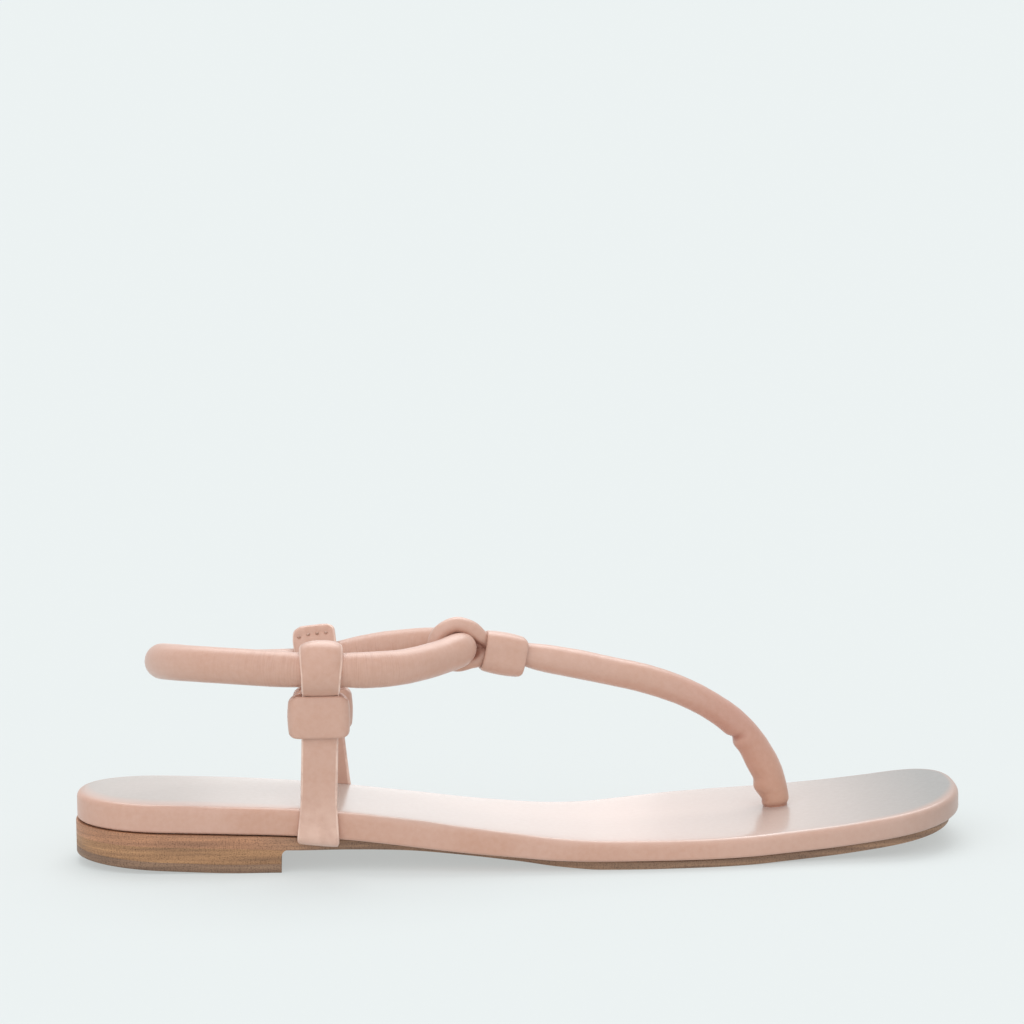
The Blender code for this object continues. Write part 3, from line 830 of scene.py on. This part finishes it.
COVE_ROWS = [EdgeRow(0.0, "top", -h) for h in (2.2, 1.6, 1.1, 0.7, 0.4)]
CLOSE_EDGE = rolled_edge(CLOSE_CORNER, CLOSE_CORNER, CLOSE_CORNER, CLOSE_CORNER, steps=3)
LIFT_EDGE = CLOSE_EDGE[:4] + COVE_ROWS + CLOSE_EDGE[4:]
TREAD_EDGE = rolled_edge(CLOSE_CORNER, CLOSE_CORNER, under_reach=0.6, under_rise=0.5, steps=4)
heel_lift = sole_layer("heel_lift", LIFT_EDGE, heel_top, lift_under, outsole_inset, HEEL_LENGTH,
                       strips=8, crisp=HEEL_CRISP, cove=breast_cove)
dress(heel_lift, heel_leather, "heel_leather", "heel_stack")
heel_tread = sole_layer("heel_tread", TREAD_EDGE, lift_under, heel_ground, outsole_inset, HEEL_LENGTH,
                        strips=8, crisp=HEEL_CRISP)
dress(heel_tread, top_piece_leather, "top_piece_leather", "heel_top_piece")

# %% [markdown]
# The sling and the T-strap are tubes: a strip of hide sewn round a soft cord and turned. A bevelled
# curve would give a perfect pipe, so the tubes are skinned ring by ring instead. Every ring can then
# be swollen, pinched or creased by a relief of its own.

# %% Tubes
def curve_through(points, steps, closed):
    """Points along a smooth curve through the given ones, whatever values each holds."""
    count = len(points)
    result = []
    for i in range(count if closed else count - 1):
        if closed:
            a, b, c, d = (points[(i + k) % count] for k in (-1, 0, 1, 2))
        else:
            a, b = points[max(i - 1, 0)], points[i]
            c, d = points[i + 1], points[min(i + 2, count - 1)]
        for s in range(steps):
            t = s / steps
            result.append(tuple(
                0.5 * (2 * q + (r - p) * t + (2 * p - 5 * q + 4 * r - u) * t * t
                       + (3 * q - p - 3 * r + u) * t ** 3)
                for p, q, r, u in zip(a, b, c, d)))
    if not closed:
        result.append(tuple(points[-1]))
    return result


def skin(name, rings, along, closed, crisp=None):
    """Rings of points joined into one closed skin, with an end cap on each open end."""
    sides = len(rings[0])
    points = [point for ring in rings for point in ring]
    girth = lengths_along(rings[0], True)
    count = len(rings)
    faces = wall_faces(count, sides, closed)
    lays = [[(along[r], girth[i]), (along[r], girth[i + 1]),
             (along[r + 1], girth[i + 1]), (along[r + 1], girth[i])]
            for r in range(count if closed else count - 1) for i in range(sides)]
    if not closed:
        for r in (0, count - 1):
            faces.append(tuple(r * sides + i for i in range(sides)))
            lays.append([(along[r], girth[i]) for i in range(sides)])
    return make_piece(name, [place(*point) for point in points], faces, lays, crisp)


def tube(name, centres, radii, sideways, sides, closed, relief):
    """A skinned tube. sideways(tangent) is its level direction; relief swells or creases it."""
    along = lengths_along(centres, closed)
    count = len(centres)
    rings = []
    depths = []
    for i, centre in enumerate(centres):
        before = centres[i - 1] if closed or i else centre
        after = centres[(i + 1) % count] if closed or i < count - 1 else centre
        tangent = (after - before).normalized()
        side = sideways(tangent)
        over = side.cross(tangent)
        ring = []
        for k in range(sides):
            turn = 2 * math.pi * k / sides
            spoke = over * math.cos(turn) + side * math.sin(turn)
            depths.append(relief(centre, spoke, turn, along[i]))
            ring.append(centre + spoke * (radii[i] + depths[-1]))
        rings.append(ring)
    piece = skin(name, rings, along, closed)
    mark(piece, "relief", depths)
    return piece


print("tube tools ready")

# %% [markdown]
# The ankle sling is elastic inside, so its hide is gathered: fine folds run across the tube, and almost
# none at the back of the heel. The folds come from a noise that is squeezed across the tube, which
# draws them out into bands around it.

# %% Ankle sling
RoutePoint = namedtuple("RoutePoint", "x y z radius")
SLING_ROUTE = [RoutePoint(*row) for row in (
    (24.8, -3.0, 55.9, 5.0), (27.8, -12.0, 57.0, 5.0),
    (35.5, -19.0, 57.5, 5.0), (46.5, -24.0, 57.4, 5.0),
    (57.5, -27.6, 57.1, 5.0), (63.5, -28.8, 56.9, 4.7),
    (69.5, -29.3, 56.8, 4.5), (75.5, -29.4, 56.7, 4.7),
    (81.5, -29.2, 56.6, 5.0), (89.5, -26.8, 56.6, 4.9),
    (96.5, -21.5, 56.9, 4.8), (103.0, -14.6, 57.5, 4.8),
    (107.8, -9.2, 58.5, 4.7), (108.7, -4.0, 59.1, 3.5),
    (106.3, 1.4, 58.9, 3.9), (100.3, 7.4, 57.9, 4.4),
    (92.0, 11.6, 56.5, 4.7), (83.5, 14.0, 54.9, 4.9),
    (76.0, 15.3, 53.2, 4.8), (67.5, 15.5, 51.9, 4.2),
    (59.0, 15.4, 51.0, 4.7), (47.4, 14.2, 51.0, 5.0),
    (36.5, 10.8, 52.4, 5.0), (28.5, 5.0, 54.3, 5.0),
)]
SLING_STEPS = 26
SLING_RADIUS = 5.0
TUBE_SIDES = 40
AXES = Vector((1, 0, 0)), Vector((0, 1, 0)), Vector((0, 0, 1))
GATHER_SPAN = (40.0, 64.0)
LEAST_GATHER = 0.25
FOLD_SQUEEZE = 0.13
FINE_FOLD = (1.1, 0.03)
BROAD_FOLD = (5.5, 0.09)


def sling_gathers(centre, spoke, turn, along):
    """Fine folds across the sling, fading out toward the back of the heel."""
    strength = LEAST_GATHER + (1 - LEAST_GATHER) * share(centre.x, *GATHER_SPAN)
    spot = centre + spoke * SLING_RADIUS * FOLD_SQUEEZE
    folds = sum(height * noise.noise(spot / width) for width, height in (FINE_FOLD, BROAD_FOLD))
    return strength * folds


sling_points = curve_through(SLING_ROUTE, SLING_STEPS, True)
sling = tube("ankle_sling", [Vector(p[:3]) for p in sling_points], [p[3] for p in sling_points],
             lambda tangent: tangent.cross(AXES[2]).normalized(), TUBE_SIDES, True, sling_gathers)
print("sling has", len(sling_points), "rings")

# %% [markdown]
# The finest gathers are too small for the skin's rings, so the finish adds them: ribs about half a
# millimetre apart across the tube, with a painted shade in their valleys. They show beside the loops
# and fade out toward the back of the heel and toward the knot, where the hide is stretched smooth.

# %% Gathered leather
GATHERED_SHINE = 0.44
GATHERED_COAT = 0.4
RIB_STRETCH = (3.5, 0.11)
RIB_RELIEF = (0.0005, 0.4)
RIBS_BEGIN = (-0.095, -0.065)
RIBS_END = (-0.045, -0.025)
LEAST_AT_BACK = 0.1
LEAST_AT_KNOT = 0.15
PAINTED_PLEAT_SHADE = (0.93, 0.90, 0.90)

gathered_leather, tree, shader = soft_leather("gathered_leather", GATHERED_SHINE, coat=GATHERED_COAT)
ribs = noise_on(tree, stretched_on(tree, *RIB_STRETCH), 1.0, detail=1.0)
along_shoe = axis_on(tree, where_on(tree), "X")
gathered = product_on(tree, range_on(tree, along_shoe, LEAST_AT_BACK, 1.0, *RIBS_BEGIN),
                      range_on(tree, along_shoe, 1.0, LEAST_AT_KNOT, *RIBS_END))
# Painted shade in the valleys between the ribs.
repaint(tree, shader, gathered, ramp_on(tree, ribs, (0.36, PAINTED_PLEAT_SHADE), (0.55, PLAIN)))
smooth_hide = shader.inputs["Normal"].links[0].from_socket
pleats = product_on(tree, ribs, gathered)
fill(tree, shader, normal=bump_on(tree, pleats, *RIB_RELIEF, smooth_hide))
dress(sling, gathered_leather, "strap_leather", "sling_strap")

# %% [markdown]
# The T-strap starts in the front keeper, goes round the sling in a ring, comes back through the
# keeper and runs along the instep to the toe slot. It lies in one upright plane. Where it bends down
# to the toes the padding cannot follow, so the hide folds on the inner side of the bend. The strap is
# also pinched where it enters the slot, and hollow where the ring's two legs meet behind the keeper.
# All of these are listed one by one, each with its distance from the strap's end, its side, depth,
# length and spread.

# %% T-strap
StripPoint = namedtuple("StripPoint", "along z radius")
T_ROUTE = [StripPoint(*row) for row in (
    (11.1, 54.2, 2.3), (7.2, 55.3, 2.9), (4.4, 54.8, 2.7),
    (0.2, 53.2, 1.8), (-3.7, 54.9, 2.1), (-5.8, 58.9, 2.4),
    (-4.5, 62.5, 2.4), (-0.2, 64.5, 2.45), (4.2, 63.0, 2.65),
    (7.0, 60.0, 2.9), (12.1, 58.3, 2.3), (16.5, 56.6, 3.0),
    (20.0, 55.4, 3.4), (25.5, 54.1, 3.9), (34.5, 52.1, 4.1),
    (43.4, 49.9, 4.1), (52.4, 47.6, 4.1), (60.4, 44.9, 4.1),
    (67.4, 41.8, 4.05), (73.9, 38.0, 3.9), (80.2, 33.1, 4.05),
    (85.5, 26.7, 4.2), (89.3, 19.4, 4.45), (91.4, 12.4, 4.25),
    (92.1, 7.4, 3.9), (92.1, 4.0, 3.8),
)]
Fold = namedtuple("Fold", "from_end side depth length spread")
# Every dent here also takes the finish's painted crease shade: the hollows between the ring's legs, the
# pinch at the slot, and the fold 119 mm from the end, which is mostly painted shade where the ring lies
# over the sling.
T_FOLDS = [Fold(*row) for row in (
    (30.0, 190.0, -0.9, 1.4, 58.0),
    (29.5, 138.0, -0.5, 0.9, 32.0),
    (28.4, 106.0, -0.32, 0.8, 24.0),
    (27.4, 175.0, 0.32, 2.0, 62.0),
    (20.0, 185.0, 0.4, 4.5, 60.0),
    (14.6, 185.0, -0.15, 1.2, 50.0),
    (11.6, 185.0, 0.65, 2.0, 60.0),
    (9.4, 140.0, -0.25, 0.8, 30.0),
    (7.4, 190.0, -0.55, 1.4, 55.0),
    (5.0, 0.0, -0.65, 0.8, 400.0),
    (142.5, 140.0, -1.4, 2.0, 36.0),
    (111.2, 140.0, -1.4, 2.2, 36.0),
    (119.0, 152.0, -0.45, 5.0, 22.0),
)]
T_LUMP = (9.0, 0.10)
T_CREPE = (2.2, 0.045)
T_STEPS = 12
CREPE_REACH = 2.0
T_PLANE_SIDE = Vector((math.sin(T_PLANE_TURN), -math.cos(T_PLANE_TURN), 0.0))
t_points = curve_through(T_ROUTE, T_STEPS, False)
t_centres = [t_plane(along, z) for along, z, radius in t_points]
T_LENGTH = lengths_along(t_centres, False)[-1]


def t_relief(centre, spoke, turn, along):
    """The listed folds of the T-strap, and the slight lumps of its padding."""
    relief = 0.0
    for fold in T_FOLDS:
        away = (along - T_LENGTH + fold.from_end) / fold.length
        round_by = (math.degrees(turn) - fold.side + 180.0) % 360.0 - 180.0
        relief += fold.depth * math.exp(-away * away - (round_by / fold.spread) ** 2)
    spot = centre + spoke * CREPE_REACH
    return relief + sum(height * noise.noise(spot / width) for width, height in (T_LUMP, T_CREPE))


t_strap = tube("t_strap_tube", t_centres, [p[2] for p in t_points], lambda tangent: T_PLANE_SIDE,
               TUBE_SIDES, False, t_relief)
print("T-strap is", round(T_LENGTH, 1), "mm long")

# %% [markdown]
# Fingers and toes rub the lower half of the T-strap, and the hide has darkened there to a warmer
# pink. A ramp along the map's length tints the finish from the bend down to the slot.

# %% Handled leather
HandledTone = namedtuple("HandledTone", "from_end tone")
T_HANDLED = [HandledTone(62.0, PLAIN), HandledTone(34.0, (0.94, 0.85, 0.86)),
             HandledTone(8.0, (1.0, 0.93, 0.86))]

handled_leather, tree, shader = soft_leather("handled_leather")
way_down = range_on(tree, axis_on(tree, map_on(tree), "X"), 0.0, 1.0, 0.0, T_LENGTH)
handling = [(1 - row.from_end / T_LENGTH, row.tone) for row in T_HANDLED]
repaint(tree, shader, 1.0, ramp_on(tree, way_down, *handling))
dress(t_strap, handled_leather, "strap_leather", "t_strap")

# %% [markdown]
# On each side a flat strap carries the sling. It starts under the footbed, goes up the outside, round
# the sling and down again on the inside. It is drawn as a profile seen from the toe, and a section
# with rolled edges follows that profile. The inner strap's loop is the same going up and coming down.

# %% Strap profiles
ProfilePoint = namedtuple("ProfilePoint", "out z width")
LATERAL_PROFILE = [ProfilePoint(*row) for row in (
    (-7.6, 8.25, 11.3), (-2.6, 8.25, 11.3), (0.1, 8.5, 11.4),
    (1.35, 9.9, 11.6), (1.1, 13.7, 11.0), (0.95, 21.3, 10.0),
    (1.0, 33.3, 10.0), (1.0, 48.9, 10.1), (2.4, 50.9, 10.3),
    (5.0, 53.3, 10.7), (6.1, 56.7, 11.2), (5.4, 60.0, 11.8),
    (3.2, 63.1, 12.0), (0.0, 64.2, 12.0), (-3.2, 63.1, 12.0),
    (-5.4, 60.0, 11.8), (-6.1, 56.7, 11.4), (-5.0, 53.3, 11.2),
    (-2.4, 50.9, 10.8), (-1.0, 48.9, 10.3), (-1.0, 33.3, 10.2),
    (-1.0, 17.4, 10.2),
)]
MEDIAL_FOOT = [(-7.6, 8.1, 11.3), (-2.6, 8.1, 11.3), (-0.3, 8.55, 11.3), (0.85, 10.2, 11.3),
               (0.95, 13.7, 11.0), (0.95, 21.3, 10.6)]
MEDIAL_RISE = [(1.0, 33.3, 10.4), (1.0, 44.4, 10.7), (2.3, 45.8, 11.1), (4.9, 48.2, 11.6),
               (6.1, 51.9, 11.9), (5.2, 55.1, 12.1), (3.8, 57.2, 12.2), (2.4, 59.2, 12.2),
               (1.2, 60.9, 11.5)]
MEDIAL_TIP = (0.0, 61.7, 8.8)
MEDIAL_END = (-1.0, 16.9, 10.4)
medial_fall = [(-out, z, width) for out, z, width in reversed(MEDIAL_RISE)]
MEDIAL_PROFILE = MEDIAL_FOOT + MEDIAL_RISE + [MEDIAL_TIP] + medial_fall + [MEDIAL_END]
Upright = namedtuple("Upright", "name profile edge base_x top_x sling_y side "
                                "keeper_x keeper_z lean curl_from curl_to")
UPRIGHTS = [
    Upright("lateral", LATERAL_PROFILE, lateral_edge, 67.4, 69.1, -29.2, -1,
            68.2, 44.1, 0.0, 54.3, 90.0),
    Upright("medial", MEDIAL_PROFILE, medial_edge, 72.7, 67.3, 15.5, 1,
            69.4, 38.5, 0.096, 49.3, 57.0),
]
STRAP_THICK = 1.7
STRAP_AT_EDGE = 0.95
RISE_FROM = 7.3
RISE_TO = 59.3
FREE_FROM = 18.3
FREE_ABOVE = 33.3


def upright_middle(upright, z):
    """Middle of a strap along the shoe, at a height."""
    return upright.base_x + (upright.top_x - upright.base_x) * share(z, RISE_FROM, RISE_TO)


def upright_point(upright, out, z, across):
    """A point of a strap's middle layer: against the footbed below, free above."""
    x = upright_middle(upright, z) + across
    free = share(z, FREE_FROM, FREE_ABOVE)
    seat = STRAP_THICK / 2 + SEAM - STRAP_AT_EDGE
    on_edge = upright.edge(x) + upright.side * (out + seat)
    on_sling = upright.sling_y + upright.side * out
    drop = (footbed_under(x) - footbed_under(upright.base_x)) * (1 - free)
    return Vector((x, on_edge + (on_sling - on_edge) * free, z + drop + across * upright.lean * free))


print("straps stand", UPRIGHTS[0].base_x, "and", UPRIGHTS[1].base_x, "mm from the heel back")

# %% [markdown]
# The strap's section is a flat band with round edges, a little crowned. Over the sling the edges curl
# down round the tube, and each stitch of the inner strap pulls a small dent into its face.

# %% Strap section and skin
EDGE_ROLL = 0.62
FACE_COLUMNS = 20
EDGE_STEPS = 5
PROFILE_STEPS = 8
STRAP_CRISP = 60
FACE_CROWN = 0.18
LOOP_CURL = 1.35
CURL_POWER = 3
CURL_SPAN = 4.0
Stitch = namedtuple("Stitch", "across z")
TAB_STITCHES = [Stitch(-4.2, 59.8), Stitch(-1.6, 60.2), Stitch(0.9, 60.25), Stitch(3.4, 60.2)]
DENT_DEPTH = 0.5
DENT_REACH = 1.0


def strap_section():
    """Section of a strap as (share of its width, share of its thickness, share of its edge roll)."""
    section = []
    for face in (1, -1):
        section += [(face * (2 * c / FACE_COLUMNS - 1), face, 0.0) for c in range(FACE_COLUMNS + 1)]
        for step in range(1, EDGE_STEPS):
            turn = math.pi * step / EDGE_STEPS
            section.append((face, face * math.cos(turn), math.sin(turn)))
    return section


def strap_skin(upright):
    """A strap with thickness along its profile, curled over the sling and dented by its stitches."""
    points = curve_through(upright.profile, PROFILE_STEPS, False)
    section = strap_section()
    rings = []
    for r, (out, z, width) in enumerate(points):
        out_before, z_before = points[max(r - 1, 0)][:2]
        out_after, z_after = points[min(r + 1, len(points) - 1)][:2]
        flat_half = width / 2 - EDGE_ROLL
        curled = share(z, upright.curl_from, upright.curl_from + CURL_SPAN)
        curled *= 1 - share(z, upright.curl_to - CURL_SPAN, upright.curl_to)
        curl = FACE_CROWN + LOOP_CURL * curled
        ring = []
        for part, layer, bulge in section:
            across = part * flat_half + (EDGE_ROLL * bulge if part > 0 else -EDGE_ROLL * bulge)
            middle = upright_point(upright, out, z, across)
            rise = (upright_point(upright, out_after, z_after, across)
                    - upright_point(upright, out_before, z_before, across))
            outward = rise.cross(AXES[0]).normalized() * upright.side
            height = layer * STRAP_THICK / 2 - curl * abs(2 * across / width) ** CURL_POWER
            if upright.name == "medial" and layer > 0:
                for stitch in TAB_STITCHES:
                    away = math.dist((across, z), stitch) / DENT_REACH
                    height -= DENT_DEPTH * math.exp(-away * away)
            ring.append(middle + outward * height)
        rings.append(ring)
    along = lengths_along([upright_point(upright, out, z, 0.0) for out, z, width in points], False)
    return skin("strap_" + upright.name, rings, along, False, crisp=STRAP_CRISP)


print("a strap's section has", len(strap_section()), "points")

# %% [markdown]
# A strap's cut edge is paler than its face: partly the edge paint, partly a painted highlight where the
# rolled edge catches the light. The map goes once round the section, face, edge, face, edge, so two
# stripes of the map are the two edges. The foot of the strap, where it comes out from under the
# footbed and flares, has a painted highlight too.

# %% Straps with pale edges
EDGE_PAINT_AND_HIGHLIGHT = (0.90, 0.65, 0.54)
FACE_SPAN = LATERAL_PROFILE[0].width - 2 * EDGE_ROLL
EDGE_SPAN = math.pi * math.sqrt((EDGE_ROLL ** 2 + (STRAP_THICK / 2) ** 2) / 2)
ROUND_SPAN = 2 * (FACE_SPAN + EDGE_SPAN)
EDGE_SOFT = 0.35
FOOT_SPAN = (10.0, 26.0)
FOOT_HIGHLIGHT_SHARE = 0.45
EDGE_MOTTLE_SCALE = 220.0
BLANK = (0.0, 0.0, 0.0)

edged_leather, tree, shader = soft_leather("edged_leather")
strap_map = map_on(tree)
round_strap = range_on(tree, axis_on(tree, strap_map, "Y"), 0.0, 1.0, 0.0, ROUND_SPAN)
stripes = []
for start in (FACE_SPAN, 2 * FACE_SPAN + EDGE_SPAN):
    end = start + EDGE_SPAN
    stripes += [(start, BLANK), (start + EDGE_SOFT, PLAIN), (end - EDGE_SOFT, PLAIN), (end, BLANK)]
on_edge = ramp_on(tree, round_strap, *[(at / ROUND_SPAN, tone) for at, tone in stripes])
edge_mottle = noise_on(tree, where_on(tree), EDGE_MOTTLE_SCALE)
edge_paint_and_highlight = ramp_on(tree, edge_mottle, (0.3, BLUSH_PALE), (0.55, EDGE_PAINT_AND_HIGHLIGHT))
foot_highlight = range_on(tree, axis_on(tree, strap_map, "X"), FOOT_HIGHLIGHT_SHARE, 0.0, *FOOT_SPAN)
# Painted highlight on the flared foot of the strap.
repaint(tree, shader, foot_highlight, edge_paint_and_highlight, "MIX")
# Pale edges: edge paint and painted highlight.
repaint(tree, shader, on_edge, edge_paint_and_highlight, "MIX")

for upright in UPRIGHTS:
    dress(strap_skin(upright), edged_leather, "strap_leather", "upright_" + upright.name)

# %% [markdown]
# A keeper is a short padded band that holds two layers of strap together. Its faces swell a little and
# its rims turn in to the strap, like a small cushion with a slot through it. Two rounded rectangles
# give its outside and its slot, and a rolled profile goes from one to the other.

# %% Outline and wall of a keeper
Keeper = namedtuple("Keeper", "width depth height slot_width slot_depth top_corner low_corner")
SIDE_KEEPER = Keeper(17.3, 6.8, 11.8, 11.6, 4.4, 2.2, 1.2)
FRONT_KEEPER = Keeper(12.0, 9.4, 12.0, 9.4, 7.2, 1.4, 0.7)
CORNER_STEPS = 8
CORNER_SHARE = 0.42
FACE_STEPS = 8
RIM_STEPS = 7
RIM_ROLL = 0.9
KEEPER_SWELL = 0.4


def rounded_loop(width, depth):
    """A rounded rectangle as points on its way round, with points on its straight sides too."""
    radius = min(width, depth) * CORNER_SHARE
    corners = [(1, 1), (-1, 1), (-1, -1), (1, -1)]

    def on_corner(k, quarters):
        sx, sy = corners[k % 4]
        angle = math.pi / 2 * quarters
        return Vector((sx * (width / 2 - radius) + radius * math.cos(angle),
                       sy * (depth / 2 - radius) + radius * math.sin(angle)))

    loop = []
    for k in range(len(corners)):
        loop += [on_corner(k, k + s / CORNER_STEPS) for s in range(CORNER_STEPS + 1)]
        start, end = loop[-1], on_corner(k + 1, k + 1)
        loop += [start.lerp(end, s / FACE_STEPS) for s in range(1, FACE_STEPS)]
    return loop


def keeper_profile(height):
    """Profile of a keeper's wall as (way in from outside to slot, height), rolled at both rims."""
    half = height / 2
    face = [(0.0, half * (2 * s / FACE_STEPS - 1)) for s in range(FACE_STEPS + 1)]
    straight = [(inward, (half - RIM_ROLL) / half * h) for inward, h in face]
    top = []
    for step in range(1, RIM_STEPS):
        turn = math.pi * step / RIM_STEPS
        top.append(((1 - math.cos(turn)) / 2, half - RIM_ROLL + RIM_ROLL * math.sin(turn)))
    slot = [(1.0, -h) for inward, h in straight]
    bottom = [(1.0 - inward, -h) for inward, h in top]
    return straight + top + slot + bottom


def corner_drop(across, width, radius):
    """How much a rounded corner takes off a band's height at a place across it."""
    past = min(max(0.0, abs(across) - (width / 2 - radius)), radius)
    return radius - math.sqrt(radius ** 2 - past ** 2)


print("a keeper's wall has", len(keeper_profile(SIDE_KEEPER.height)), "points round it")

# %% The three keepers
FRONT_KEEPER_AT = (13.3, 55.95)
FRONT_KEEPER_TILT = math.radians(12.5)


def keeper_skin(name, keeper, centre, across, deep, up):
    """A keeper standing at a centre, with its own three directions."""
    outside = rounded_loop(keeper.width - KEEPER_SWELL, keeper.depth)
    slot = rounded_loop(keeper.slot_width, keeper.slot_depth)
    profile = keeper_profile(keeper.height)
    rings = []
    for outer, inner in zip(outside, slot):
        outward = (outer - inner).normalized()
        top_drop = corner_drop(outer.x, keeper.width, keeper.top_corner)
        low_drop = corner_drop(outer.x, keeper.width, keeper.low_corner)
        ring = []
        for inward, h in profile:
            level = 2 * h / keeper.height
            h -= level * (top_drop if h > 0 else low_drop)
            swell = KEEPER_SWELL * (1 - level * level) * (1 - inward)
            flat = outer.lerp(inner, inward) + outward * (swell - KEEPER_SWELL / 2 * (1 - inward))
            ring.append(centre + across * flat.x + deep * flat.y + up * h)
        rings.append(ring)
    along = lengths_along([Vector((*point, 0.0)) for point in outside], True)
    return skin(name, rings, along, True)


for upright in UPRIGHTS:
    keeper_at = Vector((upright.keeper_x, upright.sling_y, upright.keeper_z))
    keeper = keeper_skin("band_" + upright.name, SIDE_KEEPER, keeper_at, *AXES)
    dress(keeper, strap_leather, "strap_leather", "keeper_" + upright.name)

level = math.cos(FRONT_KEEPER_TILT)
forward = Vector((math.cos(T_PLANE_TURN) * level, math.sin(T_PLANE_TURN) * level,
                  -math.sin(FRONT_KEEPER_TILT)))
front_keeper = keeper_skin("band_front", FRONT_KEEPER, t_plane(*FRONT_KEEPER_AT),
                           T_PLANE_SIDE.cross(forward), T_PLANE_SIDE, forward)
dress(front_keeper, strap_leather, "strap_leather", "keeper_front")

# %% [markdown]
# The inner strap's top is closed by one row of hand stitches just above the sling. Each is a short
# waxed thread that sinks into the hide at its two ends, so it is a small bowed spindle lying in the
# dent that the strap already has.

# %% Tab stitches
THREAD_RADIUS = 0.38
STITCH_HALF = 0.55
STITCH_RINGS = 9
THREAD_SIDES = 10
THREAD_SINK = 0.1
THREAD_END = 0.04
THREAD_TAPER = 4
TAB_LOW, TAB_HIGH = (2.4, 59.2), (1.2, 60.9)
TAB_HALF = 1.04
thread_points = []
thread_faces = []
tab = UPRIGHTS[1]
for stitch in TAB_STITCHES:
    for facing in (-1, 1):
        out = TAB_LOW[0] + (TAB_HIGH[0] - TAB_LOW[0]) * share(stitch.z, TAB_LOW[1], TAB_HIGH[1])
        skin_y = tab.sling_y + facing * (out + TAB_HALF - DENT_DEPTH + THREAD_SINK)
        start = len(thread_points)
        for r in range(STITCH_RINGS):
            t = 2 * r / (STITCH_RINGS - 1) - 1
            radius = THREAD_RADIUS * math.sqrt(max(THREAD_END, 1 - t ** THREAD_TAPER))
            x = upright_middle(tab, stitch.z) + stitch.across + t * STITCH_HALF
            z = stitch.z + (stitch.across + t * STITCH_HALF) * tab.lean
            for k in range(THREAD_SIDES):
                turn = 2 * math.pi * k / THREAD_SIDES
                y = skin_y - facing * THREAD_SINK * t * t + radius * math.cos(turn)
                thread_points.append(place(x, y, z + radius * math.sin(turn)))
        thread_faces += wall_faces(STITCH_RINGS, THREAD_SIDES, start=start)
        for tip in (start, start + (STITCH_RINGS - 1) * THREAD_SIDES):
            thread_faces.append(tuple(tip + k for k in range(THREAD_SIDES)))
thread_lays = [[(thread_points[c].x / MM, thread_points[c].z / MM) for c in face]
               for face in thread_faces]
stitches = make_piece("tab_stitches", thread_points, thread_faces, thread_lays)
print("made", len(TAB_STITCHES), "stitches on each face of the tab")

# %% [markdown]
# Waxed linen thread is darker than the hide and slightly shiny. A fine noise breaks its colour, as the
# twist of its strands does.

# %% Waxed thread
THREAD_DARK = (0.36, 0.205, 0.15)
THREAD_PALE = (0.54, 0.35, 0.27)
THREAD_TWIST = 2600.0
THREAD_ROUGHNESS = 0.4

waxed_thread, tree, shader = new_finish("waxed_thread")
twist = noise_on(tree, where_on(tree), THREAD_TWIST, detail=1.0)
fill(tree, shader, base_color=ramp_on(tree, twist, (0.35, THREAD_DARK), (0.65, THREAD_PALE)),
     roughness=THREAD_ROUGHNESS)
dress(stitches, waxed_thread, "strap_leather")

# %% [markdown]
# Last, the scene is brought up to date.

# %% Bring the scene up to date
bpy.context.view_layer.update()
